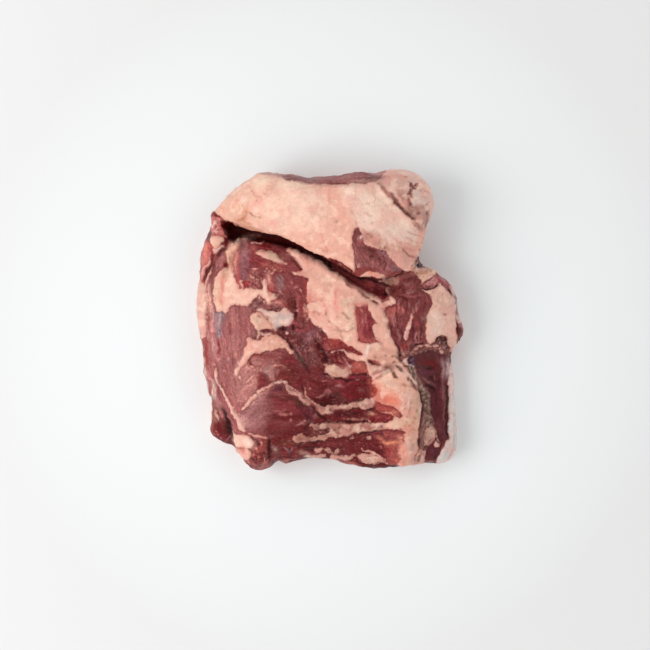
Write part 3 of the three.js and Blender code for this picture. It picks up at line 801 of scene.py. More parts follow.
vein((214, 180, 170), "-90,-16 -87,-38 -86,-45 -84,-60", 1.7, 0.75)
spots((232, 196, 190), "-80,68 -82,66 -80,62", 2.6, 0.6)
wash((200, 152, 150), "-77,4 -78,-5", 2.6, 0.8)
wash((106, 46, 48), "-82,47 -82,41 -82.5,35", 3, 0.8)
wash((92, 34, 38), "-73,57 -73,52 -73,47", 2.6, 0.8)
wash((214, 172, 166), "-92,8 -91,-2 -90.5,-12", strength=0.75)
wash((190, 120, 110), "-75,37 -74,32", 2.6, 0.6)

# ---- The muscle in the fold's left corner ------------------------------------
# A mixed patch of dark muscle between the gap and the fat: red and wet at the top, streaked and greyish
# towards the middle, framed by a cream band of fat at its left.
lean((142, 70, 72), "-70,56 -59,58 -57,59 -54,56 -50,54 -47,54 -40,52 -36,52 -31,50 -25,50 -18,47 -12,44 "
    "-11,38 -14,28 -14,20 -14,8 -10,-2 -14,-8 -24,-8 -34,2 -40,12 -52,24 -66,24", 1, along="-62,54 -50,38 "
    "-30,22 -20,-4", puff=0.5, marble=0.35, tear=0.2)
lean((186, 94, 94), "-66,50 -63,52 -62,46 -63,38 -62,31 -61,25 -60,21 -64,22 -67,29 -68,38 -68,45", 1.3,
    along="-66,54 -65,38 -62,22", marble=0, tear=0.05)
wash((206, 112, 108), "-64.5,26 -62.5,22.5", 3)
lean((158, 100, 104), "-63,51 -60,54 -57,52 -56,46 -56,38 -57,32 -59,28 -62,30 -63,38", along="-60,54 -60,28",
    marble=0.15, tear=0.2)
wash((172, 112, 114), "-62,46 -62,40 -62,34", 2.2, 0.6)
spots((204, 142, 136), "-60,48 -58,48 -60,50 -58,50 -60,46", 2.2, 0.6)
wash((122, 56, 60), "-57.5,36.5 -57,34.5 -57.5,32", 2, 0.8)
lean((138, 62, 64), "-56,50 -50,52 -44,52 -36,49 -33,46 -37,45 -38,48 -46,49 -52,48 -51,46 -42,41 -40,38 "
    "-48,38 -55,40", strength=0.95, along="-56,54 -44,49 -32,43", marble=0.15)
lean((118, 26, 30), "-57,58 -52,57 -47,54 -41,52 -41,50 -46,50 -52,53 -56,56", 1, 0.9)
wash((166, 76, 74), "-52,52 -46,50 -41,50", 1.3)
lean((168, 92, 86), "-46,40 -38,40 -30,39 -26,37 -30,34 -38,35 -46,36", 2, 0.8, tear=0.2)
wash((184, 112, 98), "-42,38 -38,37.5", 2.6, 0.6)
lean((150, 76, 78), "-35,41 -28,41 -22,37 -20,33 -26,33 -33,35", 1.6, 0.8)
lean((160, 90, 88), "-34,48 -30,48 -27,44 -28,42 -31,42 -34,43", 1, along="-36,48 -26,40", marble=0.3)
crease("-34,47 -32,45 -28,43|-33,48.5 -30,46.5 -28,44.5", 0.8, 0.4, 0.45)
crease("-32,49 -19,34", 1.5, 0.9, 0.62)
wash((128, 22, 26), "-25,42 -22,38 -20,36", 1.6)
lean((136, 72, 72), "-42,30 -34,31 -20,30 -16,28 -16,22 -16,12 -22,6 -34,8 -38,14 -43,21", strength=0.9,
    along="-44,36 -30,20 -20,0", marble=0.2)
wash((182, 96, 92), "-40,28 -41,24 -40,20", 3.4, 0.75)
wash((198, 82, 78), "-42.5,23.5 -42,20.5 -40.5,18", 1.8, 0.8)
blush((152, 112, 110), "-38,30 -33,30 -32,22 -36,20", 1.8, 0.85)
wash((160, 62, 64), "-17,28 -17,16", 2, 0.8)
wash((126, 56, 60), "-22,28 -20,24 -20,19", 3, 0.6)
spots((216, 142, 144), "-24,23", 1.7, 0.95)
spots((188, 112, 112), "-30,24 -29,23 -31,22 -27,26", 1.8, 0.6)
crease("-39,19.5 -36.5,17 -34,15.5", 1.7, 0.9)
lean((160, 92, 88), "-56,34 -49,34 -48,30 -48,23 -54,22 -58,25 -58,30", 1.2, 0.85, marble=0.3, tear=0.75)
lean((164, 58, 60), "-60.5,27 -57.5,27.5 -56.5,24.5 -58.5,22.5 -60,23.5", 0.8)
wash((112, 46, 58), "-57,26 -55,25 -51,24|-55,29 -54,27", 1.3, 0.85)
thread((224, 168, 160), "-61,28 -62,26 -61,22", 1.2)
thread((226, 152, 142), "-54.5,36 -52.5,35.5 -50,36.5", 1.6)
thread((212, 140, 132), "-55.5,31.5 -54.5,29.5 -53,28|-52,33 -51,31|-53,29.5 -50.5,27.5 -49.5,28", 0.9)
thread((222, 168, 152), "-48,32 -48,29 -47,25", 0.9)
crease("-48,34 -48,22", 1.4, dark=0.45)
thread((238, 190, 178), "-46,29 -46,25 -44,16", 3)
thread((206, 140, 132), "-46,34.5 -43,33.5 -41,34.5|-44,36 -41,34 -38,36 -36,35|-43,32.5 -39.5,33|-36,33.5 "
    "-33.5,34.5", 0.8, strength=0.8)
lean((120, 62, 58), "-24,12 -18,12 -15,4 -16,-4 -22,-2 -25,4", 1.5, along="-22,14 -20,-6")
blush((188, 106, 100), "-40,16 -33,12 -31,8 -36,11", 1.4, 0.8)
fat((243, 194, 166), "-73,47 -72,49 -68,53 -62,58 -60,59 -58,58 -60,56 -66,48 -68,38 -66,27 -64,23 -74,28 "
    "-74,34 -71,35 -70,38 -72,40 -73,44")
wash((255, 210, 180), "-69,54 -70,50 -70,35", 3.4, 0.75)
wash((232, 158, 146), "-64,52 -66,48 -68,37 -67,31", 1.8)
vein((176, 132, 100), "-71,46 -70,38 -72,34", 1.3, 0.75)
lean((120, 36, 36), "-74,40.5 -71.5,39.5 -71,37.5 -72,36 -74,36.5", 0.8)
fat((234, 192, 172), "-53,48 -47,48.3 -39,47.5 -36,44 -31,40 -30,38.8 -36,40.5 -42,42 -48,45", 1.3, firm=0.8)
wash((234, 160, 148), "-52,48 -48,47 -45,46", 2.4, 0.8)
wash((222, 188, 158), "-42.5,47.5 -40.5,45.5 -38.5,44", 3.2, 0.8)
wash((160, 108, 94), "-36.5,46.5 -34.5,43.5 -32,41.5", 2.6, 0.8)
wash((236, 172, 162), "-36,40.5 -32.5,39.5", 1.6)
fat((232, 166, 152), "-26,33 -24,34 -20,34 -17,36 -13,32 -14,28 -18,30 -24,32", 0.8)
thread((224, 160, 154), "-56,54 -54,54 -50,54 -46,55", 1)
thread((205, 138, 130), "-21,22 -19,18|-27,16 -25,12|-36,20 -33,18", 0.7)
crease("-26,10 -24,5 -23,1", 1, 0.6, 0.65)
thread((200, 118, 112), "-19,4 -16.5,8 -15.5,3|-17,-1 -15,2|-18.5,12 -17,9", 1.2)
wash((78, 52, 48), "-66,67 -59,64 -56,62 -52,60 -40,58", 2, 0.85)
wash((152, 128, 124), "-53.5,58 -52.5,57 -51.5,56.5", 1.3, 0.9)
# Painted light: the cream band beside the gap is painted paler than its fat where the flap's shade falls.
wash((252, 178, 160), "-63,57 -66,47 -67,40 -67,31", 5, 0.85)
crease("-69,49 -65,52 -61,55.5 -56,56.5", 3.6, -3.5, 0)
blush((178, 98, 94), "-58,53 -53,52.5 -51,49 -54,47 -58,49", 1.2, 0.8)
wash((234, 168, 152), "-29,48 -25,44.5 -21,39", 3.6, 0.8)
wash((226, 154, 142), "-43.5,33 -43,28.5 -43.5,24", 3.6, 0.8)
# Painted light on the top of the cream band, in the flap's shade.
wash((255, 224, 206), "-68,52 -61.5,56 -55,58", 4.4, 0.95)
wash((206, 128, 118), "-58,58.5 -53,59 -47,58", 3, 0.8)
# Painted light on the cream band, in the flap's shade.
wash((250, 172, 150), "-69,48 -69,36|-63,54 -60,55.5", 2.8)

# ---- The fat mass at the left and the pocket below it ------------------------
# A thick wad of cream fat that a knife parted from the muscle, and under its edge a pocket lined with
# silvery membrane.
fat((248, 200, 180), "-68,32 -65,26 -63,22 -60,22 -57,22 -46,21 -43,19 -37,18 -36,16 -41,13 -42,11 -45,12 "
    "-49,18 -51,16 -56,11 -57,10 -62,10 -68,10 -73,4 -74,6 -79,6 -80,9 -82,14 -81,24 -80,29 -76,35 -73,36")
wash((222, 166, 132), "-74,34 -74,31 -75,27", 3.4, 0.8)
wash((226, 140, 120), "-75,31 -76,9", strength=0.95)
wash((242, 204, 168), "-79,28 -80,21 -78,8", 2.6, 0.8)
vein((206, 164, 130), "-78,22 -78,17 -78,12", 0.9)
vein((206, 132, 112), "-72,30 -73,27 -74,24|-81,18 -80.5,13", 0.8)
wash((226, 164, 140), "-71,22 -70,18 -68,15|-57.5,21 -56,18", 2.4, 0.5)
vein(SALMON, "-66,24 -62,18 -60,14|-55,21 -52,18", 1.2, 0.4)
lean((146, 92, 90), "-56,11 -50,16 -48,17 -44,12 -41,11 -38,12 -35,10 -33,8 -34,6 -42,6 -50,8 -54,5 -56,6 "
    "-56,8", 0.8, puff=-1.0, marble=0.5, tear=0.8)
wash((138, 80, 78), "-50,14 -44,10 -38,9", 5, 0.85)
wash((92, 46, 50), "-54,11 -51.5,14 -49.5,14.5|-50,11 -47.5,11|-43,7.5 -40,7.5|-37,9 -35,8", 2.4, 0.85)
wash((112, 22, 26), "-36.5,8.5 -35,7.5|-34.5,11.5 -35.5,12.5", 1.4, 0.85)
wash((166, 92, 92), "-42.5,10 -41.5,8.5|-39,11 -38,8.5", 1.6)
thread((226, 178, 162), "-46.5,14 -46,12|-44,12.5 -43,10.5|-40.5,12 -40,11|-49,16.5 -48.5,15", 1)
fat((214, 190, 182), "-52,8 -48,8 -40,6 -35,6 -32,8 -26,4 -26,0 -30,-4 -33,-4 -38,-7 -42,-2 -46,4 -49,6", 0.8)
wash((240, 196, 186), "-46,6 -43,4 -37,-3|-33,-2.5 -29.5,-1.5", 3, 0.8)
wash((200, 176, 168), "-37,4 -33,4 -29,2", 3.2, 0.6)
wash((206, 146, 146), "-27,1 -27.5,-2", 1.8, 0.8)
wash((216, 166, 150), "-40,-2.5 -38.5,-5.5", 1.8)
fat((238, 192, 168), "-55,4 -51,6 -48,4 -46,2 -40,-4 -40,-6 -44,-6 -50,-8 -52,-6 -56,0", 0.9)
wash((240, 214, 196), "-50.5,-0.5 -48.5,-1.5", strength=0.75)
wash((224, 152, 144), "-54,4.5 -51,5 -48.5,3.5", 1.8, 0.8)
spots((166, 84, 78), "-50,3 -49,2", 1.5, 0.8)
vein((150, 92, 82), "-48,5 -40,-4|-45,4 -43,2 -41,-0.5", 0.8, 0.75)
lean((156, 98, 96), "-56,-6 -50,-8 -50,-11 -52,-13 -56,-12", 0.9)
crease("-53,-11.5 -51.5,-12 -50.5,-11.5", 1.1, 0.6, 0.8)
thread((240, 196, 186), "-49,-10 -46,-10 -44,-10 -41,-9", 1.6)
thread((232, 176, 162), "-49.5,-8.5 -50,-11 -50.5,-13.5", 1.6)
crease("-48,-10 -46,-8 -44,-7 -38,-8", 1, 0.9, 0.72)
crease("-38,-8 -36,-6 -34,-6 -30,-6", 1.1, 1, 0.8)
lean((114, 56, 54), "-38,-8 -34,-8 -28,-9 -27,-12 -29,-14 -33,-12 -35,-10", 0.9, tear=0.3)
vein((84, 24, 26), "-38,-8 -33,-13 -30,-14 -26,-20", 1.3, 0.85)
crease("-37,-8 -33,-13 -30,-14 -27,-19", 0.9, 0.6, 0.4)
crease("-28,-17.5 -26.5,-19.5 -25.5,-21", 1.8, 1, 0.8)
pit("-27,-3 -25,-3 -24,-5 -25,-7 -27,-5.5|-33.5,-5 -31,-5 -30,-6.5 -31.5,-7.5 -33.5,-6.5", deep=1, dark=0.97,
    soft=0.7)
crease("-24,-6 -22,-5 -20,-6 -16,-5", dark=0.75)
spots((248, 200, 198), "-30,-9", 1.4, 1)
lean((110, 54, 52), "-31,15 -26,16 -25,8 -27,6 -30,8", 1.2, along="-28,18 -26,4")
vein((104, 22, 26), "-25,16 -24,4 -24,-1", 1.4, 0.85)
crease("-25,14 -24,4 -24,0", 0.9, dark=0.45)
wash((164, 94, 94), "-23,14 -22,8 -22,2", 2, 0.8)
spots((212, 146, 140), "-24,6 -23,6", 1.6, 0.9)
wash((148, 62, 64), "-20,15 -20,8 -20,2", 2.6, 0.8)
wash((206, 122, 114), "-18,10 -17,2 -16,-1", 1.8, 0.75)
spots((226, 152, 140), "-18,3 -16,6 -18,8 -16,0", 1.6, 0.8)
wash((118, 30, 32), "-17,15 -16.5,13", 1.4)
wash((204, 136, 126), "-43,11 -37,12 -32,12.5", 3.2, 0.8)
wash((242, 184, 166), "-85,26 -84.5,15 -84,4", strength=0.75)
wash((200, 112, 106), "-44,19 -40,16", 3)
wash((156, 86, 84), "-29,-14 -22,-17", 3.4, 0.5)

# ---- The crescent of fat over the round muscle -------------------------------
# A curved sheet of fat that was cut through where it dips between two muscles. It covers the round muscle's
# far and left side, and fine bloody seams show along its inner edge.
fat((238, 180, 160), "-57,-12 -50,-14 -44,-11 -40,-10 -34,-12 -27,-20 -25,-22 -27,-24 -30,-21 -34,-20 "
    "-42,-21 -50,-23 -54,-24 -57,-28 -62,-34 -64,-38 -66,-38 -66,-34 -63,-32 -60,-22 -58,-17 -58,-13")
wash((226, 172, 146), "-42,-14 -38,-12 -34,-16|-41,-18 -36,-18.5", 3.2, 0.6)
wash((252, 208, 194), "-56,-18 -51,-18 -46,-20|-60.5,-25.5 -61.5,-30|-43,-16 -38,-15.5", 3.2, 0.75)
wash((204, 150, 132), "-50,-16 -46,-14 -43,-12|-57,-14.5 -54,-15.5", 1.3, 0.6)
wash((226, 190, 166), "-64.5,-34.5 -65,-36.5", 1.8)
spots((186, 128, 112), "-43,-16 -53,-13 -34,-18", 1.3)
crease("-55,-25 -52,-24 -48,-24 -44,-22", 0.9, 0.6, 0.35)
vein((160, 78, 70), "-55,-26 -50,-24 -45,-23", 1.5, 0.6)
vein((186, 148, 132), "-26.5,-21.5 -25,-23.5 -25,-25", 1.4)
wash((244, 190, 176), "-62,-29 -65,-34 -66,-40", 3.4, 0.85)

# ---- The round muscle and its seams ------------------------------------------
# An oval muscle in its own skin, paler and mauve where that skin is thick, with strings of fat in the seams
# round it. Another long seam of fat runs down the left.
lean((138, 76, 76), "-59,-62 -56,-57 -44,-49 -36,-46 -30,-48 -17,-59 -15,-66 -14,-74 -16,-79 -24,-81 -34,-82 "
    "-52,-80 -60,-79 -63,-74 -62,-68", 1.5, along="-62,-74 -46,-62 -26,-60 -12,-70", puff=1.6, marble=0.2,
    tear=0.1)
lean((164, 108, 106), "-58,-62 -52,-55 -46,-54 -44,-62 -47,-74 -56,-76 -60,-70", 4, 0.9)
wash((192, 138, 132), "-60,-66 -59,-72 -56,-76|-55,-59 -52,-57", 5, 0.65)
lean((128, 56, 59), "-40,-54 -28,-52 -20,-58 -18,-70 -30,-72 -38,-64", 4, 0.8)
lean((114, 50, 58), "-22,-58 -15,-60 -12,-66 -14,-70 -20,-66", 2.5, 0.85)
lean((112, 48, 50), "-42,-72 -30,-73 -18,-72 -18,-79 -32,-81 -44,-79", 2.5, 0.8)
wash((100, 42, 42), "-42,-68 -30,-68 -18,-68", 6.4, 0.9)
wash((84, 40, 48), "-18,-66 -12,-70 -6,-71|-14,-63 -10,-66", 4.6, 0.9)
wash((206, 156, 150), "-62,-66 -60,-70 -60,-74", 4.4, 0.8)
lean((88, 44, 54), "-40,-48 -34,-46 -33,-50 -36,-50 -40,-50", 1.3, 0.9)
wash((100, 60, 52), "-33,-52 -25,-56 -16,-61", 3.2, 0.8)
wash((112, 60, 52), "-31.5,-45.5 -31,-48.5 -32,-50.5", 1.4)
wash((158, 98, 98), "-40,-51 -37,-53 -33,-52", 1.6, 0.6)
wash((124, 66, 62), "-46.5,-51 -44,-49.5 -41.5,-48", 1.8, 0.6)
thread((222, 170, 154), "-61,-63 -59,-60 -58,-58 -55,-55 -50,-52", 2.6, strength=0.9)
thread((226, 172, 158), "-51,-53 -49,-50 -38,-44", 1.9)
wash((214, 164, 152), "-50.5,-53.5 -48.5,-52", 3.4)
thread((234, 184, 172), "-39,-44.5 -36.5,-44 -34,-44.5|-33,-43.5 -31.5,-43.5 -30,-43.5")
spots((246, 204, 192), "-36,-44 -34,-44 -52,-53 -57,-57", 2)
crease("-40,-34 -37,-42 -37,-43", 0.8, 0.5, 0.6)
crease("-48,-36 -40,-44", 1.3, 0.5, 0.45)
thread((190, 142, 136), "-31,-44 -30,-46 -22,-51", 1.3)
thread((198, 150, 142), "-31,-47 -28,-50 -22,-53 -20,-56 -14,-60", 2.1, strength=0.85, proud=0.15)
spots((122, 72, 66), "-28,-48 -28,-49", 2)
spots((222, 180, 172), "-22,-52 -24,-52 -20,-54", 2, 0.8)
spots((212, 172, 142), "-18,-57 -16,-58", 1.8)
blush((198, 142, 130), "-29,-46 -24,-50 -20,-51 -17,-54 -12,-57.5 -15,-59.5 -20,-57.5 -24,-53 -28,-49", 1.2)
thread((214, 142, 128), "-18,-47 -16.5,-53 -13,-57 -8,-62 -6,-65", 1.2, strength=0.85)
crease("-20,-45 -18,-54", 1, 0.9, 0.72)
crease("-24,-54 -20,-58 -15,-60", 1, dark=0.6)
crease("-14,-60 -5,-68 -1,-70", 1.6, 0.9, 0.92)
vein((202, 134, 126), "-36,-66 -30,-66 -28,-66|-28,-62.5 -27.5,-67", 0.9)
vein((176, 108, 104), "-41,-63 -34,-64 -29,-62|-50,-60 -45,-58|-38,-55 -32,-54 -28,-56|-22,-73 -17,-71.5",
    strength=0.6)
spots((120, 20, 24), "-29,-64 -28,-63", 1.5, 0.8)
spots((218, 148, 140), "-18,-71 -28,-70", 1.7, 0.8)
fat((206, 160, 150), "-70,-60 -67,-62 -60,-72 -59,-78 -61,-78 -64,-73 -70,-63", 1.2, firm=0.5)
thread((242, 192, 180), "-80,-34 -78,-44 -75,-48 -66,-68 -62,-76 -60,-78", 1.8)
wash((216, 172, 152), "-80,-34.5 -79.5,-38", 1.5)
lean((158, 92, 92), "-78,-46 -73,-56 -70,-62 -68,-68 -65,-74 -62,-78 -66,-80 -69,-77 -72,-70 -75,-60 -78,-52",
    1, 0.9, along="-78,-44 -72,-62 -65,-78")
wash((110, 62, 52), "-75.5,-44.5 -74,-48", 1.2, 0.8)
lean((184, 150, 138), "-82,-42 -80,-42 -79,-48 -79,-54 -80,-56 -82,-54 -82,-48", 0.7, marble=0)
wash((228, 174, 160), "-82,-43 -82,-49 -81,-54", 1, 0.85)
wash((134, 66, 70), "-78,-44 -77,-54 -76,-58", 1.8, 0.8)
wash((150, 80, 82), "-85,-44 -84,-50 -84,-56", 1.8)
wash((100, 46, 48), "-44,-53 -35,-54.5 -26,-55", 4.4, 0.8)
wash((184, 116, 108), "-38,-31 -33,-33 -29,-35", 3.4)
wash((122, 64, 62), "-46,-43 -38,-45", strength=0.6)
wash((160, 72, 72), "-72,-71 -69,-75", 3, 0.6)
wash((206, 146, 136), "-51,-53 -47,-50.5 -43,-47.5", 4.4, 0.6)

# ---- The lobes at the near left corner ---------------------------------------
# The end of the shank muscle, dark and wet, and a lobe of meat under a cap of fat. A deep bloody seam
# parts the two.
lean((146, 88, 80), "-84,-56 -80,-56 -78,-60 -78,-71 -86,-74", 1.2, along="-81,-54 -81,-76")
thread((240, 204, 190), "-84,-56 -84,-62 -84,-70", 1.6)
lean((104, 18, 24), "-86,-72 -81,-72 -78,-70 -78,-62 -76,-60 -74,-62 -69,-79 -68,-83 -68,-86 -68,-92 -90,-86",
    1, along="-76,-62 -77,-75 -78,-90", puff=0.8, marble=0.1, tear=0.15)
wash((88, 14, 22), "-76,-65 -74,-70 -72,-82", 5, 0.8)
wash((150, 70, 62), "-82,-70 -82,-76 -81,-80", 2.8, 0.85)
wash((136, 54, 58), "-80,-78 -77,-80 -74,-82", 3.4, 0.6)
spots((196, 118, 118), "-79,-78 -78,-80 -80,-80 -76,-82", 1.4, 0.6)
thread((216, 152, 142), "-80,-62 -78,-70", 1.6)
vein((64, 6, 10), "-77,-60 -71,-73 -68,-86", 2.6, 0.9)
crease("-76,-61 -71,-73 -68,-84", 1.4, 1.8, 0.8)
wash((172, 94, 98), "-69.5,-80 -71,-82.5 -73.5,-85", 1.3, 0.85)
wash((190, 134, 132), "-82,-82 -77,-85 -72,-86", 1.3)
lean((150, 74, 70), "-66,-86 -58,-90 -52,-86 -48,-82 -43,-83 -41,-90 -40,-108 -60,-108 -68,-96", 1.2,
    along="-54,-84 -50,-106", puff=0.8, marble=0.4, tear=0.45)
wash((106, 40, 40), "-54,-95 -50,-97 -47,-100", 6, 0.75)
spots((98, 24, 26), "-53,-98 -54,-97 -52,-100 -55,-102 -49,-101 -47,-97 -52,-103 -46,-93", 2.2, 0.8)
spots((206, 126, 116), "-52,-90 -56,-99 -50,-96 -48,-103 -53,-94 -50,-92 -45,-100", 1.8)
fat((242, 200, 178), "-69,-78 -66,-80 -58,-81 -54,-84 -53,-86 -54,-89 -56,-90 -64,-89 -66,-88 -69,-80", 1.1)
wash((238, 198, 192), "-68,-79 -68,-83 -66,-87", 2.2, 0.8)
wash((252, 222, 206), "-62,-83 -57,-86 -54,-89", 5, 0.85)
wash((232, 180, 160), "-65,-84 -63,-86", 2, 0.5)
fat((236, 178, 160), "-65,-89 -62,-90 -56,-91 -55,-95 -58,-98 -61,-97 -66,-93", 1)
wash((214, 108, 98), "-63.5,-90 -61,-91.5 -59,-93.5", 2.2, 0.85)
wash((246, 190, 170), "-57,-92 -56,-95 -58,-98", 2)
crease("-57,-82 -51,-84 -50,-87 -52,-88", dark=0.85)
wash((112, 72, 48), "-55,-91.5 -54,-93.5", 1.2, 0.85)
wash((138, 48, 48), "-62,-77 -58,-80 -55,-82", 1.4, 0.8)
thread((236, 160, 150), "-57,-80 -45,-82 -43,-84")
thread((215, 140, 130), "-48,-84.5 -48.5,-88|-52,-89 -51,-91|-46,-96 -46,-98.5", 1.3)
crease("-43,-82 -42,-88 -43,-93 -42,-98", 1.6, 1.6, 0.85)
wash((178, 112, 108), "-77.5,-56 -76,-64 -74,-70", 3.4, 0.8)
wash((208, 152, 138), "-54,-83 -51,-85", 3, 0.6)
wash((132, 84, 84), "-50,-101.5 -44,-101.5", 3, 0.6)
wash((172, 86, 78), "-62,-88.5 -59.5,-93", 2.8, 0.85)

# ---- The sheet of fat down the middle ----------------------------------------
# A broad flat sheet of smooth fat between the muscles, pink at the left, yellower in the middle, with a
# window in it where the muscle below is bare.
fat((243, 188, 168), "-30,50 -27,50 -22,48 -18,46 -14,45 -8,40 1,34 9,28 24,20 33,16 40,8 40,4 41,0 41,-3 "
    "43,-12 49,-22 50,-27 52,-31 56,-36 60,-42 56,-46 44,-44 34,-43 29,-40 26,-36 26,-31 22,-29 18,-29 "
    "12,-25 11,-22 15,-23 20,-24 23,-23 16,-20 10,-16 8,-14 1,-13 -2,-11 -6,-6 -9,-5 -10,-4 -13,0 -15,3 "
    "-15,6 -16,10 -14,12 -16,14 -16,25 -15,28 -18,34 -27,46 -30,48")
for pale, where, size, share in (
    ((240, 158, 140), "-25,46 -20,42 -17,37|-18,44 -15,40 -13,35", 2, 0.6),
    ((216, 132, 110), "-18,44 -16,40 -14,36", 1.2, 0.7),
    ((248, 204, 186), "-28,48 -20,40 -18,37", 1.8, 0.7),
    ((228, 142, 130), "-13,23 -14,20 -14,14|-12.5,17.5 -10,15.5 -8,14.5", 2.2, 0.65),
    ((250, 198, 182), "-13.5,9 -10.5,8 -8,6.5|0,9 1,5 1,0", 3.4, 0.7),
    ((255, 214, 200), "-13.5,1.5 -11.5,0 -10,-1.5", 3, 0.7),
    ((238, 148, 136), "4,22 4,12 5,8 5,5", 2.8, 0.8),
    ((222, 124, 114), "3,19.5 3,15|3.5,13.5 4.5,11", 1.2, 0.75),
    ((232, 202, 176), "9,14 13,10 12,4 14,-2 12,-6", 7, 0.8),
    ((214, 194, 168), "8,11 8.5,7.5|14,-12 12,-15", 2.6, 0.6),
    ((230, 150, 134), "-9,16 -5,10 -3,4", 6, 0.85),
    ((255, 232, 222), "-5.5,-6.5 -4,-7.5 -2,-9", 3, 0.95),
    ((208, 154, 136), "27,-18 41,-22 46,-24|28,-26 36,-27 44,-29", 6, 0.8),
    ((226, 180, 164), "34,12 38,4 40,-4 38,-12", 4, 0.7),
    ((206, 158, 152), "14,24 34,14", 1.8, 0.8),
    ((200, 176, 156), "26,-31 29,-34 31,-37", 4.6, 0.85),
    ((196, 160, 156), "33,-36 38,-36 44,-35", 3, 0.9),
):
    wash(pale, where, size, share)
for brown, where, size in (
    ((216, 142, 128), "-14,12 -8,12 -4,8|-13,3.5 -11,3.5 -9,1.5 -8.5,-0.5", 0.9),
    ((156, 108, 94), "-8.5,6 -7.5,4.5 -7,3|-4,6 -3,4.5 -2,3", 1.2),
    ((196, 138, 122), "4,3 5,2 5,1|6,-9 9,-13 10,-16|15.5,-1.5 16.5,-3.5", 0.9),
    ((164, 100, 88), "7,5 10,4 13,1 15,0", 1.1),
    ((190, 128, 114), "-2,0 4,-5 8,-10", 1),
    ((192, 150, 134), "0,-7 10,-8 13,-8 16,-6 18,-7", 1.1),
    ((126, 66, 62), "9,27 16,22 21,19 28,14", 1.2),
    ((168, 100, 86), "32.5,-1.5 32.5,-3.5|26.5,-28.5 26,-31", 1.3),
    ((142, 94, 76), "50.5,-37 51.5,-38.5|43,-27 44,-25|31,-26 33,-27|38,-25 40,-26|42,-32 44,-30 48,-30",
        1.1),
    ((150, 118, 118), "41,-34 42,-35.5 42.5,-37|34,-34.5 37,-35", 1.4),
):
    vein(brown, where, size, 0.85)
thread((250, 220, 210), "28.5,-17.5 27.5,-18.5 24.5,-27", 1.2, proud=0.1)
crease("28,14 32,12 35,10", deep=1, dark=0.95)
crease("-7,-6.5 -5.5,-8.5 -3.5,-10.5", deep=0.9, dark=0.95)
crease("36,9 38,6 40,1", 0.8, 0.6, 0.3)
lean((154, 74, 74), "18,11 21,10 26,12 27,8 30,1 32,-2 30,-6 32,-13 34,-15 34,-16 30,-16 27,-17 20,-15 "
    "20,-13 19,-8 18,6", 0.9, along="22,12 25,0 28,-18", puff=-0.5, marble=0.1)
for ruddy, where, size in (
    ((204, 112, 102), "18,10 18,4 21,-14", 2),
    ((212, 128, 116), "18,10 21,11 25,11", 1.8),
    ((182, 100, 100), "24,5 25,1 26,-3", 3),
    ((116, 44, 52), "28,-4 28,-10", 3.4),
    ((200, 128, 120), "21,9 22.5,6.5 24.5,4", 1.4),
    ((114, 42, 56), "26,3 28.5,0.5 29,-2", 3.4),
    ((132, 58, 68), "22,-6.5 24.5,-8.5 27,-10", 4.2),
    ((104, 38, 48), "30,-6 30,-10 32,-12", 1.2),
    ((182, 96, 90), "22,-14 26,-15 32,-15", 3),
    ((212, 156, 154), "23.5,2 23,0 22.5,-3", 1.7),
    ((168, 88, 86), "22,3 22,-2 22,-12", 2.2),
):
    wash(ruddy, where, size, 0.85)
lean((160, 76, 70), "26,-28 34,-29 36,-32 33,-32 28,-30", 0.9, firm=0.6)
vein((92, 26, 26), "26,-28 32,-32 36,-32", 2, 0.95)
crease("26,-28 29,-30 36,-32", 1)

# The torn edge below that sheet: a bright red lip, dark muscle under it and an oval of ivory fat.
lean((150, 62, 60), "-6,-7 -2,-12 1,-14 8,-14 13,-18 18,-21 23,-24 19,-24 8,-20 5,-21 2,-20 -4,-13", 0.8,
    along="-6,-11 8,-18 22,-23", tear=0.5)
lean((116, 42, 46), "-4,-13 2,-20 5,-21 0,-23 -4,-21 -6,-18", 1, marble=0.6, tear=0.6)
lean((112, 42, 46), "0,-23 8,-21 10,-22 15,-28 18,-30 10,-32 5,-31 0,-30 -2,-26", 0.9, tear=0.3)
lean((166, 84, 76), "15,-30 22,-30 26,-31 26,-35 24,-38 18,-37 14,-38 14,-34", 1.6, along="14,-36 20,-32 "
    "26,-29", marble=0.1)
lean((116, 44, 48), "14,-38 18,-38 24,-38 30,-42 30,-45 32,-48 32,-52 28,-56 20,-57 12,-58 8,-50 10,-42", 1.6,
    along="8,-46 20,-46 34,-50", marble=0.1)
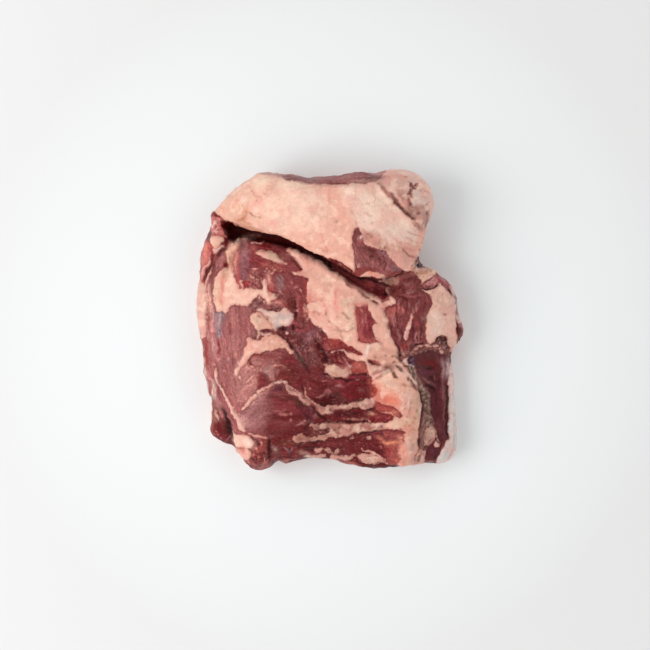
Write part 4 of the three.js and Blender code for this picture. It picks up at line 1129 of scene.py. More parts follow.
for ruddy, where, size in (
    ((182, 84, 78), "1.5,-14 4.5,-15.5 6,-17.5", 4.4),
    ((164, 62, 62), "9,-17.5 12.5,-19.5", 3),
    ((112, 18, 28), "16,-21 19,-22 22,-24", 2.4),
    ((120, 38, 40), "-4.5,-10.5 -1.5,-12.5", 3),
    ((194, 110, 106), "-3.5,-14.5 -2,-16.5 -0.5,-18.5|0.5,-15.5 1.5,-18.5|-3.5,-18.5 -1.5,-20 0.5,-21", 0.9),
    ((198, 114, 106), "5.5,-25 7,-27.5 8,-29.5|8,-24.5 9.5,-27 11,-29|3,-27 4.5,-29.5|12.5,-27 14,-29.5",
        1.1),
    ((100, 16, 22), "-4,-26 -2,-28 2,-30|8,-29 11,-30.5", 2),
    ((126, 86, 62), "0.5,-31 4.5,-30.5", 1.2),
    ((206, 120, 118), "6,-28 14,-33|15.5,-34 19.5,-32.5", 1.1),
    ((192, 110, 96), "19.5,-31.5 22.5,-34", 3.2),
    ((114, 28, 32), "-7,-21.5 -4,-25.5", 3.6),
    ((148, 60, 56), "16,-36 22,-36", 2.4),
    ((136, 62, 72), "14,-40 19,-40 24,-40", 2.6),
    ((76, 12, 16), "21.5,-42 24,-43.5 26,-45", 3.2),
    ((160, 66, 60), "28,-42 28,-46 30,-48", 3),
    ((96, 24, 26), "32,-50 32.5,-52.5 31,-54", 1.4),
    ((144, 104, 104), "22,-48 24.5,-50.5|19.5,-48 21,-49.5", 1.5),
    ((100, 28, 32), "14,-50 18,-53 24,-54", 5),
    ((112, 62, 60), "2,-52 6,-54 10,-55", 4),
    ((122, 58, 60), "10,-44 16,-44", 3.4),
):
    wash(ruddy, where, size, 0.85)
thread((216, 150, 140), "0,-23 5,-21 10,-21 12,-23", 1)
thread((226, 160, 154), "10.5,-27 12,-30.5 13.5,-32|12.5,-33 14,-32.5", 0.9)
spots((240, 184, 178), "14,-33", 1.3, 0.9)
fat((216, 174, 154), "-5,-32 -3,-32 4,-32 7,-34 12,-34 14,-36 14,-38 10,-40 7,-40 3,-40 0,-40 -5,-34 -6,-33",
    firm=0.5)
wash((232, 194, 170), "-4,-33 0,-34 4,-34", 4.4, 0.8)
wash((190, 146, 132), "10.5,-36 12.5,-37.5|8,-38.5 11,-39.5", 2.8)
vein((196, 126, 92), "1.5,-38 2.5,-37|4,-39 5.5,-38|3.5,-36.5 4.5,-38", 1.3)
crease("-6,-36 -3,-38 0,-40 7,-41 10,-42 18,-42", 1.3, 0.9, 0.88)
crease("14,-38 18,-38 24,-38 27,-40", 1.1, dark=0.9)
thread((172, 120, 108), "-3.5,-39 -1,-40.5|-7,-43 -2,-43", 0.8)
thread((194, 144, 142), "16.5,-41.5 19,-42 21,-41", 0.8)
vein((176, 112, 110), "4,-47 6,-46 10,-47|-11,-53 -8,-54 -2,-50 0,-50 -2,-54", 1.4, 0.85)
wash((255, 218, 200), "-20,47.5 -13,43.5 -8,40.5 -3,37.5 4,33", 3.2, 0.8)
crease("-31,47.5 -26,46 -20,43.5 -12,40 -4,35 4,30 14,24 22,19", 3.4, -2.0, 0)
wash((210, 124, 110), "-15.5,18 -13,11 -10,4", 5, 0.85)
wash((146, 88, 80), "30.5,-11 33.5,-14.5 37,-18", 3.4, 0.8)
wash((240, 164, 150), "14,11 20.5,11 27,11.5", 3, 0.9)
blush((160, 110, 98), "29,-31 34,-30.5 42,-31.5 44,-35 38,-36.5 31,-36", 1.8, 0.9)
lean((112, 50, 50), "-7,-29.5 -4.5,-31 -3,-33 -5,-36 -9,-35", 1)
wash((146, 88, 82), "4,31.5 10,28 16,24.5", 1.8, 0.8)
lean((148, 70, 68), "-4,-17 2,-18 8,-18.5 12,-19.5 8,-20.5 0,-21 -5,-20", 1.2, tear=0.4)
wash((162, 130, 122), "28,-33.5 35,-35 43,-35", 3.6, 0.6)
wash((146, 84, 80), "8,-32 14,-35", 3.2, 0.6)

# ---- The muscle at the right -------------------------------------------------
# A long leaf of grained muscle in a frame of fat, its fibres running down to the left, with a streak of
# white sinew near its foot.
lean((128, 66, 66), "48,28 50,31 57,34 63,28 64,24 64,22 70,17 72,10 68,2 67,-8 68,-12 67,-16 63,-18 59,-18 "
    "58,-21 53,-26 50,-25 48,-20 44,-14 42,-8 40,1 38,6 38,8 42,10 46,12 46,15 44,17 43,23 48,24", 1,
    along="64,34 58,12 52,-6 50,-26", puff=1, marble=0.35, firm=0.7)
wash((160, 86, 80), "36,12 40,8 42,2 43,-5", 2.6)
for ruddy, where, size in (
    ((178, 94, 88), "38,8 41,4 42,2|42,8.5 44.5,6", 3),
    ((152, 80, 80), "50,27 52,30 56,31", 3.2),
    ((154, 88, 86), "51,24 56,24 60,22", 5),
    ((172, 100, 100), "49,17 56,16 66,18", 1.7),
    ((154, 78, 82), "64,14.5 67.5,13.5 69.5,11.5", 5),
    ((88, 32, 34), "45,18 50,16 54,14 54,10 52,5", 1.6),
    ((96, 40, 42), "51,15.5 54.5,12|48,22 50,24|62.5,7 60,5 58,3.5", 1.6),
    ((200, 118, 112), "48,12 48,7 49,3|46,9 45,4 46,-2|50,9 51,3.5", 1.2),
    ((172, 86, 76), "44.5,7.5 45,4", 3),
    ((196, 124, 120), "61,10 60.5,6", 1.5),
    ((168, 80, 80), "59.5,0.5 62.5,-4.5", 3.2),
    ((208, 148, 148), "60,-8 60,-13 60,-18", 1.3),
    ((178, 112, 110), "62,-9 62,-16|64.5,-9 65,-14|57,-10 57.5,-15", 1.2),
    ((96, 62, 62), "64.5,-5.5 66,-11", 2),
    ((152, 70, 66), "50,-17 54,-19 57,-20", 4),
    ((198, 128, 118), "49,-19 50.5,-22.5 52.5,-24", 1.2),
    ((98, 46, 50), "42,-2 44,-8 46,-13|50,-2 50,-8 50,-14", 3.4),
    ((152, 84, 82), "48,0 48,-6|54.5,6 56,2", 2.4),
    ((102, 48, 52), "58,-1 57,-8 56,-14|63,1 64,-4", 2.6),
    ((194, 144, 134), "40.5,23 41.5,20.5|40,19.5 41,18.5", 1.5),
):
    wash(ruddy, where, size, 0.85)
fat((224, 174, 166), "56,0 51,-10 53,-14 54,-11 57,-2 58,4 57,4", 0.7)
vein((190, 132, 130), "58,2 58,6 58,10")
vein((184, 128, 126), "50,26 54,25 58,26|52,21 55,20 58,22|52,18 57,19 61,20|60.5,13.5 60,9|55,13 55,8|43,6 "
    "44,0 45,-6|47,-4 48,-10 49,-15|61.5,14 62.5,10|64,4 64,-2|49,14.5 48.5,10", 0.9, 0.5)
vein((86, 36, 42), "50,24 52,20 52,17|58,-3 58,-9 58,-15|64,-3 64,-9 64,-15|46,6 47,-1 48,-8|42,-4 44,-10|"
    "56,12 56.5,7|66,14 66,9 66,4|61,-10 61,-16", 1.1, 0.6)
lean((136, 72, 68), "42,24 44,25 46,24 48,22 48,19 46,18 44,18 42,22", 1.2)
wash((80, 26, 28), "43.5,22.5 45.5,20.5 46.5,19", 2.6, 0.85)
crease("67,-16 59,-18|44,-14 48,-20 49,-24 49,-27", 1.3, 0.9, 0.9)

# The fat round it, and the tip of the shoulder at the far right.
fat((242, 196, 178), "64.5,21.5 70,21.5 74.5,24.5 76,26.5 81,22 85.5,14.5 88,3 88.5,-13 89,-18 87.5,-20.5 "
    "84.5,-19.5 82.5,-16 82,-13 80.5,-12 76,-12 74,-13.5 74,-14.5 72,-16 69.5,-16.5 68,-15 68,-12.5 67,-7.5 "
    "68,2 71.5,10.5 70.5,17 68,19", 1)
wash((250, 218, 202), "70,1 74,2 76,-4 73,-10", 8, 0.9)
wash((236, 192, 180), "83,14 86,4 86,-10", 5)
wash((234, 188, 168), "76,18 80,14 76,10", 6, 0.6)
vein((196, 138, 118), "73.5,9 75,9.5|76,8 77.5,8|71.5,18.5 73,19|74.5,14 75.5,13.5", 1.3)
vein((146, 100, 78), "79,4 80,3.5 81.5,3.5", 1.3, 0.85)
fat((255, 214, 188), "58,35 64,37 68,36 72,35 74,33 70,29 66,27 64,25 64,27 60,32", 0.8)
wash((224, 152, 118), "61,32 65,32 69,33", 2.8, 0.8)
vein((240, 172, 160), "65.5,27.5 67.5,30 70,31.5|60,34 63,34 67,35|68.5,30 71,32.5", 1.2, 0.8)
vein((150, 92, 72), "66.5,33.5 68.5,34|69.5,33 70.5,33.5|60.5,31.5 62,32.5|64,29 65.5,30", 1.2, 0.8)
lean((208, 134, 130), "65,24 70,28 74,32 76,27 74,25 72,23 70,22 66,22", 0.7, along="64,24 75,30", marble=0.1)
wash((232, 166, 164), "67.5,25 70.5,27.5 72.5,29.5|69,24 72,26 74,27.5", 1.3, 0.8)
wash((100, 34, 40), "65,24 70,24 72,26", 3, 0.85)
vein((128, 58, 58), "65,25 67,27 70,28 72,31", 0.9, 0.8)
crease("64,24 66,22 70,22 72,22 76,26", 1.3, 1, 0.95)
lean((164, 84, 90), "73,35 77,34 84,28 84,24 82,23 78,27 76,28 74,32", 0.8, along="72,34 84,24", marble=0.1)
wash((204, 146, 148), "76,30.5 79,28.5 81.5,26", 1.2, 0.8)
wash((132, 46, 54), "74,32 78,31|73.5,31.5 74.5,30", 1.5, 0.8)
fat((228, 202, 196), "84,25 87,21 90,8 92,1 90,-2 88,2 84,18", 0.7, 0.9)
crease("83,24 84,20 86,16", 1.3, dark=0.93)
vein((116, 66, 70), "87,18 88.5,10 89.5,2", 2.2, 0.85)
lean((92, 8, 14), "89,-2 90,-4 96,-9 94,-12 91,-16 89,-16 89,-9", 0.8)
wash((156, 62, 48), "93,-9 92,-13.5", 3, 0.8)
crease("89,0 89,-4 89,-9", 1.1, dark=0.93)
wash((196, 118, 112), "44,27 53,31 60,32.5", 4.4, 0.85)
wash((176, 112, 106), "54,-16 59,-17 65,-16", 3)
blush((84, 60, 68), "61.5,46 59,41 56.5,37.5 61,36 66.5,36 63.5,41", 0.8, 0.95)

# The frayed lower edge of that muscle and of its fat, and the dark net where the sheet of fat tore.
lean((140, 88, 82), "57,-19 63,-18 69,-17 74,-14 79,-12 82,-15 84,-20 88,-22 87,-27 72,-25 58,-26 50,-29 "
    "49,-24", 0.9, marble=0.3, tear=1)
fat((222, 170, 162), "58.5,-20.5 62.5,-20 62,-21 60,-21.5|61,-19 63.5,-18 65.5,-18.5 63.5,-19.5|66.5,-17.5 "
    "69,-17 71.5,-18 70.5,-19 67.5,-19|71.5,-17.5 74,-17 75.5,-18 73.5,-19|77,-21.5 78.5,-21 79.5,-22.5 "
    "78,-23.5|84,-20.5 88,-19.5 88.5,-23 86.5,-24 84.5,-22.5", 0.6)
vein((214, 166, 160), "80,-18.5 81.5,-20.5|76.5,-20 77.5,-21|79.5,-24 81.5,-25", 1.3, 0.8)
spots((158, 102, 96), "74,-20 75,-20 63,-23 80,-18", 2.4, 0.8)
spots((78, 42, 40), "66,-21 70,-22 82,-20 83,-23 77,-24 60,-18 85,-24 72,-22", 2.3, 0.9)
lean((92, 56, 52), "74,-14 76,-12 80,-12 81,-13 84,-20 82,-18 74,-16", 0.7)
crease("74,-14 76,-12 80,-12 83,-18", 1, dark=0.9)
lean((148, 118, 102), "52,-32 56,-32 60,-32 61,-37 63,-46 54,-34", 0.8, marble=0.5, tear=0.9)
fat((228, 208, 190), "52,-27 55,-26 55,-32 54,-32 52,-31", 0.6)
lean((76, 46, 60), "55,-26 60,-25 60,-31 55,-31", 0.7)
vein((126, 106, 128), "56.5,-29 58,-27.5 60,-27|57.5,-30 59.5,-29", 0.9)
spots((232, 220, 210), "56,-32 58,-32 52,-28", 1.6, 0.9)
fat((224, 178, 162), "56,-42 58,-42 62,-45 62,-47 60,-48 58,-48 56,-43", 0.7)
spots((212, 184, 166), "55,-34 57,-36 59,-38 58,-34 60,-41 60,-36 48,-22 46,-25", 1.6, 0.8)
vein((82, 50, 38), "48,-25 48,-27 52,-32 54,-34 62,-46|55,-33 57.5,-33.5 59,-36|56.5,-35 58.5,-37 60,-39.5|"
    "46,-21 47.5,-23 48.5,-25|45.5,-24 47,-27", 1.3, 0.85)
thread((236, 204, 188), "48,-31 51,-36 61,-45", 3)
vein((96, 44, 36), "54,-40 56,-43 56,-44 58,-46 60,-49|55.5,-45 57.5,-46|60.5,-45.5 62.5,-46.5", 2, 0.95)
wash((146, 98, 92), "56,36.5 61,36", 3, 0.6)

# ---- The rib fingers at the near side ----------------------------------------
# Bands of dark muscle from between the ribs, with strips of speckled pink fat and sinew between them,
# where the rib cage was cut away.
RIB_GUIDE = "-40,-72 0,-71 30,-71 60,-78"
lean((108, 46, 48), "-28,-76 -16,-74 -8,-67 0,-64 22,-60 32,-57 40,-60 50,-66 54,-74 56,-82 54,-92 50,-108 "
    "30,-108 0,-108 -30,-106 -40,-108 -42,-90 -34,-82", 1.5, along=RIB_GUIDE, marble=0.25, tear=0.2)
lean((122, 52, 52), "-42,-83 -25,-82 -22,-88 -24,-98 -40,-100", 2, along="-44,-90 -20,-90", tear=0.3)
for tint, softness, band in (
    ((166, 116, 106), 1.4, "-10,-60 -6,-60 2,-60 5,-58 14,-58 18,-57 24,-56 28,-56 30,-56 30,-60 23,-62 "
        "20,-61 14,-62 5,-62 2,-65 -1,-66 -4,-65 -6,-66 -8,-63"),
    ((172, 120, 108), 1.2, "-14,-73 -8,-73 0,-72 20,-72 28,-72 34,-72 40,-72 40,-76 37,-76 32,-77 28,-78 "
        "23,-78 11,-81 4,-82 0,-82 -4,-83 -8,-83 -8,-80 -12,-78 -14,-76"),
    ((166, 110, 96), 1.5, "-26,-82 -22,-80 -17,-81 -16,-82 -4,-82 -4,-84 -10,-84 -16,-84 -18,-86 -22,-86 "
        "-24,-86"),
    ((196, 146, 132), 0.8, "-11,-90 -8,-90 -5,-90 -6,-92 -10,-93|-4,-90 0,-90 2,-94 1,-94 -2,-92|-8,-94 "
        "-4,-94 -4,-96 -10,-96 -13,-96|1.5,-94.5 5,-95 5,-98 0,-97.5|2,-95 6,-95 14,-95 18,-94 17,-96 12,-98 "
        "4,-97"),
    ((200, 152, 138), 1, "20,-95 22,-94 25,-94 34,-96 40,-101 38,-100 25,-100 20,-96"),
    ((190, 132, 124), 0.8, "14,-82.5 15.5,-82 16.5,-83 14.5,-83.5|25.5,-82 27.5,-82 29,-83 27.5,-83.5"),
):
    fat(tint, band, softness, firm=0.7, tear=0.9)
lean((152, 78, 76), "38,-78 41,-77 49,-77 52,-78 50,-83 41,-83 39,-82", 2, along=RIB_GUIDE, tear=0.3)
lean((134, 40, 44), "27,-68 31,-66 36,-65 45,-68 38,-72 33,-72 28,-70", 1, tear=0.4)
lean((162, 82, 78), "38,-88 44,-87 51,-88 51,-92 50,-97 50,-104 43,-104 40,-100 38,-95", 2.4,
    along="38,-86 46,-104", firm=0.5)
lean((168, 80, 74), "32,-58 40,-60 45,-64 49,-66 49,-68 44,-67 38,-64 35,-64 32,-61", 2.2,
    along="32,-58 48,-67", firm=0.5)
lean((96, 26, 34), "22,-100 25,-100 45,-102 50,-103 50,-108 20,-108", 0.9)
for tone, where, size in (
    ((150, 112, 100), "-8,-61 -1,-64 2,-63", 3.6),
    ((224, 180, 164), "18,-58 24,-58 28,-58", 3.4),
    ((188, 140, 128), "5,-60 10,-60 14,-60", 3),
    ((248, 202, 192), "28.5,-55.5 30,-56.5", 2),
    ((146, 110, 102), "-13,-75 -8,-76 -3,-75", 4.2),
    ((86, 40, 40), "-9.5,-77.5 -8,-76.5|-5,-77.5 -3,-76.5|-13,-78 -10.5,-78.5", 1.7),
    ((198, 154, 118), "-7,-81 -4.5,-82.5", 3.2),
    ((230, 170, 150), "-2,-80 2,-80 5,-80", 2.2),
    ((184, 114, 100), "3.5,-74 6,-75|22,-74 24,-73.5", 2.4),
    ((110, 44, 40), "-1,-79 1.5,-78 4,-76.5", 1.4),
    ((204, 170, 152), "6.5,-77.5 9.5,-77", 3.6),
    ((148, 72, 68), "14,-74 15,-77 16,-80", 2.6),
    ((232, 176, 160), "18,-74.5 19.5,-77.5|9,-73.5 13,-74", 3),
    ((180, 92, 76), "25,-75 28.5,-76.5", 2.3),
    ((238, 194, 178), "29.5,-76 32.5,-77|30,-74 38,-73", 2.6),
    ((174, 120, 102), "32.5,-76 37,-76.5", 1.2),
    ((214, 168, 150), "-14,-84 -8,-84 -5,-84", 1.8),
    ((84, 18, 26), "-20,-88 -14,-90 -9,-88", 5),
    ((112, 52, 52), "-4,-86 2,-86 14,-86", 5),
    ((186, 132, 120), "-22,-92 -18,-93 -14,-95 -10,-96", 3.2),
    ((226, 200, 186), "-18,-96 -12,-96 -6,-97", 2.2),
    ((92, 20, 22), "-3,-94 0.5,-95|-1.5,-91 1,-93|3.5,-90 3.5,-93", 1.3),
    ((124, 52, 56), "10,-91 12,-94", 4),
    ((206, 172, 156), "9.5,-96 14,-96.5|21,-95 25,-96 30,-98", 2.6),
    ((178, 108, 98), "8,-99 14,-100 20,-101", 2.6),
    ((78, 48, 42), "22.5,-80 25.5,-79.5", 2.2),
    ((120, 54, 64), "28.5,-80 31,-81 33,-83", 3.2),
    ((136, 48, 54), "46,-79.5 49.5,-80.5", 3.4),
    ((206, 100, 90), "38.5,-79 38.5,-82|52,-80 51,-83", 1.8),
    ((222, 136, 110), "36,-86 50,-86", 3.8),
    ((198, 116, 100), "32,-82 36,-83 38,-84", 3),
    ((112, 36, 46), "33,-88 36,-91 38,-94", 4.6),
    ((200, 114, 108), "34,-88.5 36,-90", 1),
    ((150, 46, 54), "39.5,-88.5 41.5,-92.5", 3.4),
    ((230, 116, 114), "46.5,-88.5 49,-89.5", 2.2),
    ((210, 114, 98), "46,-96 48.5,-101", 4),
    ((92, 40, 42), "6,-77 7,-75 8.5,-73.5|20.5,-74 21.5,-78|34,-74 37,-74.5", 1.6),
    ((124, 66, 58), "-12.5,-74.5 -11,-76.5|-6.5,-74.5 -5,-76.5|-1.5,-75 0,-77|4.5,-78.5 6,-80.5|10,-79.5 "
        "12,-78.5", 1.8),
    ((150, 96, 84), "-7,-61 -3,-61.5|9,-61.5 13,-61.5|-22,-82 -19,-84", 2.6),
    ((90, 34, 36), "-14,-94 -12,-92|-8,-91.5 -5.5,-92", 1.4),
    ((108, 48, 48), "-3,-64 3,-64 8,-64|12,-82 18,-81 22,-80", 2),
    ((84, 22, 30), "2,-67 8,-66 22,-65", 5),
    ((124, 32, 42), "17,-63.5 21,-64", 3),
    ((176, 116, 106), "9,-69 27,-70", 1.1),
    ((212, 146, 120), "26,-66 29,-65.5 31.5,-66", 2.8),
    ((192, 104, 102), "33,-67 37,-68.5|35,-69.5 39,-70|38,-67 41,-68.5", 1.1),
    ((152, 72, 82), "32.5,-67 35,-68", 2.4),
    ((142, 48, 46), "32,-58.5 34.5,-61.5 37,-63", 2.8),
    ((236, 136, 118), "43.5,-63.5 47.5,-66", 2.6),
    ((208, 168, 158), "-39.5,-89.5 -37.5,-91.5", 4),
    ((118, 62, 52), "-36,-86 -30,-86 -25,-86", 3.6),
    ((118, 32, 36), "-34,-80 -27,-80|-38,-82 -33,-82.5", 3.4),
    ((56, 38, 52), "-29.5,-90.5 -27.5,-93", 2.6),
    ((170, 136, 142), "-32.5,-89 -30,-91 -28.5,-92|-26,-89.5 -28,-91.5", 0.9),
    ((82, 12, 18), "-28.5,-94 -25.5,-96.5", 4),
    ((176, 114, 104), "-38,-100 -32,-99 -27,-98", 2.2),
    ((88, 30, 38), "-19,-74.5 -17,-77.5 -17.5,-80", 4.4),
    ((132, 86, 84), "-14,-70.5 -12.5,-74", 3.2),
    ((190, 124, 118), "-17.5,-70 -17,-72.5|-23,-73 -19,-73", 1.5),
):
    wash(tone, where, size, 0.88)
thread((204, 164, 150), "5,-90 4,-92 4,-93.5|6.5,-90.5 5.5,-92.5 5,-94", 1)
thread((232, 136, 124), "36,-64 42,-65 46,-67", 0.9)
thread((208, 156, 136), "26.5,-70 28,-71 29.5,-72", 1)
thread((238, 166, 150), "22,-90 25,-92 32,-94 38,-98 40,-100", 1.4)
crease("22,-92 26,-93 29,-94|10,-70 15,-71 21,-72|22,-71 26.5,-71|29,-70 32.5,-70.5|39,-103 45,-103 50,-103",
    1.1, dark=0.92)
crease("-22.5,-87 -22,-90.5|-15,-86 -10,-86 -4,-84|-8,-59 0,-59 3,-59|-6,-72 2,-72 10,-72|34,-68.5 37,-70 "
    "39,-71.5|18,-80 23,-79 34,-78", 1.1, 0.7, 0.8)
blush((116, 70, 66), "-15,-74.5 -8,-74 -1,-75 -1,-80 -6,-80.5 -13,-80.5", 1.8, 0.85)
lean((92, 40, 42), "-8,-57.5 8,-57 20,-55.5 25,-55 24,-57 18,-58.5 10,-59.5 2,-60 -6,-60", 0.8, 0.85)
wash((96, 48, 48), "-15.5,-70 -14.5,-76.5 -15.5,-82", 4.4, 0.85)
wash((108, 52, 50), "-28,-84.5 -21.5,-85.5 -15,-86", 3.4, 0.85)
lean((120, 66, 62), "-14,-74 -10,-76 -5,-76 -1,-75 0,-78 -4,-80 -10,-80 -14,-78", 1.8, 0.75)
lean((114, 58, 54), "-27,-87 -20,-88 -15,-87 -17,-85.4 -24,-85.6", 1)
wash((118, 76, 74), "-22,-92 -13,-94.5", 3, 0.6)
wash((146, 88, 82), "9,-77 14,-77.5 19,-77", 3.4, 0.6)
wash((110, 60, 58), "-5,-66 0,-65.5 4,-66", 2.4)
wash((120, 62, 60), "12,-81 22,-80 27,-79.5", 2.4, 0.6)
fat((196, 148, 134), "-6,-61 0,-60.6 8,-59.2 16,-58.2 24,-57.7 24,-59 14,-61 4,-62 -4,-62", 1.2, 0.8)
wash((104, 60, 58), "-10,-72.5 -4,-73|-16,-83 -11,-83.5", 2.3, 0.6)

# ---- The pad of fat at the near right ----------------------------------------
# A thick smooth pad of fat, orange-pink at its left edge where it thins out over the ribs, and greyer at
# its right edge, where fascia joins it to the loose strip.
fat((240, 186, 162), "29,-41 30,-42 30,-45 32,-46 33,-52 30,-55 34,-58 40,-60 46,-63 50,-66 50,-68 46,-68 "
    "40,-72 38,-75 44,-76 50,-76 55,-78 56,-82 56,-88 56,-92 56,-98 54,-104 54,-109 60,-109 60,-95 62,-90 "
    "63,-74 64,-63 63,-52 62,-48 56,-46 53,-43 44,-40 33,-41", 1.3)
fat((238, 160, 138), "48,-76 58,-76 58,-109 49,-109 48,-101 50,-96 48,-92 52,-84 52,-81 52,-78", 3.2,
    firm=0.45)
for pale, where, size in (
    ((238, 140, 116), "32,-45 34,-51 38,-56 44,-59 50,-60", 9),
    ((238, 130, 106), "34,-52 42,-55 50,-57", 7),
    ((240, 190, 168), "56,-80 56,-88 55,-102", 5),
    ((248, 150, 130), "37,-49 41,-50.5", 3),
    ((226, 188, 170), "35,-42 42,-44 48,-45", 5),
    ((212, 176, 158), "60,-52 62,-60 61,-68|57,-78 58,-86 57,-96", 4.6),
    ((196, 160, 158), "63,-56 64,-64 63,-72|62,-80 62,-88", 1.7),
    ((240, 198, 184), "53,-49 54,-56 51,-62", 7),
    ((244, 168, 142), "31,-42.5 32,-45.5|52,-88 52,-94 51,-99", 2.8),
    ((242, 210, 186), "43,-73 49,-73|46,-69.5 48,-70", 4),
    ((240, 196, 176), "56,-82 54,-90", 5),
):
    wash(pale, where, size, 0.85)
for brown, where, size in (
    ((168, 104, 80), "49.5,-63 51.5,-63 53,-61.5|53,-68.5 54.5,-67.5|50,-44.5 51.5,-45.5 54,-46", 1.4),
    ((204, 144, 132), "56,-56 56,-62 56,-69|52,-60 53.5,-57", 1.1),
    ((252, 204, 188), "32,-55 34,-54 38,-52", 1.1),
    ((194, 132, 104), "55.5,-75.5 58,-76 60.5,-78|54.5,-74 57,-73|58,-67 60,-70|57,-70.5 58.5,-72.5|"
        "59.5,-62.5 60.5,-65", 1.3),
    ((206, 150, 128), "52.5,-71.5 54,-70|55,-66 56.5,-64.5|51,-74 53,-73.5|57.5,-79 59,-80", 1.4),
):
    vein(brown, where, size, 0.8)
spots((248, 206, 194), "29,-56 30,-57 32,-58", 2.2, 0.9)
vein((100, 58, 44), "44,-32 48,-33 52,-37|42,-36 45,-38 47.5,-41|28,-39 32,-37 36,-36|31,-42 34,-40 42,-36|"
    "34,-32 40,-34 42,-34", 1.7, 0.9)
vein((98, 46, 38), "53,-40 56,-43 56,-44 58,-46 62,-50", 2, 0.95)
blush((206, 98, 82), "30,-48 34,-49 39,-54 39,-59 31,-57.5", 2.6, 0.8)
wash((240, 160, 140), "48,-80 50,-85 49.5,-90", 4.4, 0.8)
wash((200, 160, 148), "58.5,-84 57.5,-97 57,-108", 5, 0.8)
lean((164, 74, 70), "31,-57.5 34,-57 40,-59 46,-62 49,-65 45,-63.5 38,-61.5 32,-60.5", 0.9)
wash((146, 40, 42), "28,-47 31,-50 31,-53", 3.6, 0.75)
wash((228, 138, 116), "34,-50 41,-49 46,-51", 4.6, 0.75)
wash((214, 138, 120), "44,-64 48,-66|47,-91 48,-97", 3.2, 0.5)

# ---- The loose strip at the right and its skirt ------------------------------
# A strip of dark muscle that hangs beside the pad, joined to it by grey-brown fascia, with a thin pale
# skirt of skin lying on the table beyond it.
PLUM = (98, 52, 54)
lean(PLUM, "60,-24 72,-22 83,-25 86,-29 83,-34 83,-60 82,-76 84,-82 81,-85 77,-93 75,-98 74,-104 66,-104 "
    "66,-98 66,-95 68,-90 72,-85 74,-80 74,-78 70,-66 70,-62 68,-49 65,-45 60,-34 60,-27", 0.9,
    along="58,-24 72,-40 76,-70 72,-98", puff=1, marble=0.1, tear=0.05)
lean((134, 104, 94), "62,-46 64,-45 68,-49 70,-55 70,-64 71,-70 74,-78 74,-81 74,-82 70,-84 67,-90 65,-91 "
    "64,-88 66,-84 66,-78 66,-71 66,-64 64,-52", 0.8, along="63,-44 69,-66 70,-84", marble=0.6, tear=1)
spots((184, 152, 134), "64,-46 66,-48 65,-51 66,-54 68,-57 67,-60 70,-62 68,-66 69,-68 68,-72 70,-74 72,-77 "
    "68,-78 70,-80 67,-82 72,-82", 2, 0.75)
spots((92, 62, 52), "64,-50 66,-52 66,-57 68,-54 67,-64 68,-65 67,-70 70,-72 67,-76 70,-78 69,-82 72,-79 "
    "68,-58 66,-79", 1.9, 0.75)
lean((150, 106, 98), "64,-60 66,-62 66,-71 66,-78 66,-84 64,-90 62,-90 62,-80 64,-68", 0.6)
fat((208, 162, 150), "62,-90 64,-91 67,-91 66,-98 66,-101 61,-101 60,-97", 0.8, tear=0.7)
fat((218, 182, 180), "73,-85 74.5,-84.5 76,-86 75.5,-88.5 74,-89 73,-87.5", 0.6)
thread((190, 136, 134), "74,-80 76,-84 77,-86|73,-82 70,-85 69,-88", 1.3)
vein((146, 98, 96), "64,-40 76,-48", 1.2, 0.75)
fat((198, 160, 142), "67,-78 68,-75 71,-75 73,-78 74,-80 70,-84 67,-88 66,-84", 0.8, firm=0.6, tear=0.9)
vein((104, 66, 54), "62,-90 63,-94 62,-97 62,-100|64.5,-91 65,-94 66,-96.5|60.5,-94 62.5,-96", 1.1, 0.8)
for tone, where, size in (
    ((108, 38, 42), "62,-28 70,-30 76,-33", 7),
    ((126, 66, 64), "74,-25 77,-30", 3.2),
    ((112, 60, 72), "63,-36 68,-37 74,-36", 4),
    ((86, 18, 26), "70,-40 74,-42 78,-44", 5),
    ((88, 46, 52), "73,-44 75,-52 76,-60 76,-70", 8),
    ((124, 68, 60), "80,-46 80,-56 80,-66 80,-74", 2.6),
    ((112, 62, 68), "75,-70 77,-75 79,-80", 4.4),
    ((136, 84, 84), "78,-36 79,-46 79,-56", 2.4),
    ((58, 14, 24), "67,-45 70,-47 74,-49|68.5,-39.5 71,-40.5", 1.8),
    ((204, 172, 172), "82,-28 82,-34 82,-40", 3.6),
    ((176, 132, 132), "78,-27 79,-34 79,-41", 2.6),
    ((106, 54, 68), "70,-90 73,-92 75,-93.5", 5),
    ((62, 4, 16), "73,-96.5 75,-96", 2.6),
    ((156, 116, 116), "67,-98 72,-99 74,-98", 1.2),
    ((208, 148, 142), "70.5,-83 72,-81.5 74,-80", 1.6),
    ((232, 182, 158), "67,-85 68,-87", 2.4),
    ((102, 64, 38), "66.5,-89.5 68.5,-88", 2),
    ((232, 186, 176), "64,-94 64.5,-99", 2.4),
    ((92, 60, 46), "62,-90 60,-95 60,-100", 1.5),
):
    wash(tone, where, size, 0.85)
crease("62,-48 64,-52 65,-62 63,-74 62,-80 63,-90", 1, 1, 0.86)
crease("82,-43 82,-54 82,-69 82,-80 84,-82", 1.6, dark=0.93)
crease("66,-34 69,-34 73,-34|67,-44.5 70,-46.5 72,-48", deep=0.6, dark=0.9)
fat((228, 222, 218), "86,-26 83,-34 83,-40 83,-60 82,-69 82,-76 83,-80 84,-82 81,-85 80,-89 75,-98 74,-106 "
    "90,-106 94,-90 92,-60 92,-26", 0.6)
spots((200, 180, 172), "84,-38 84,-52 86,-66 82,-92", 2.4, 0.6)

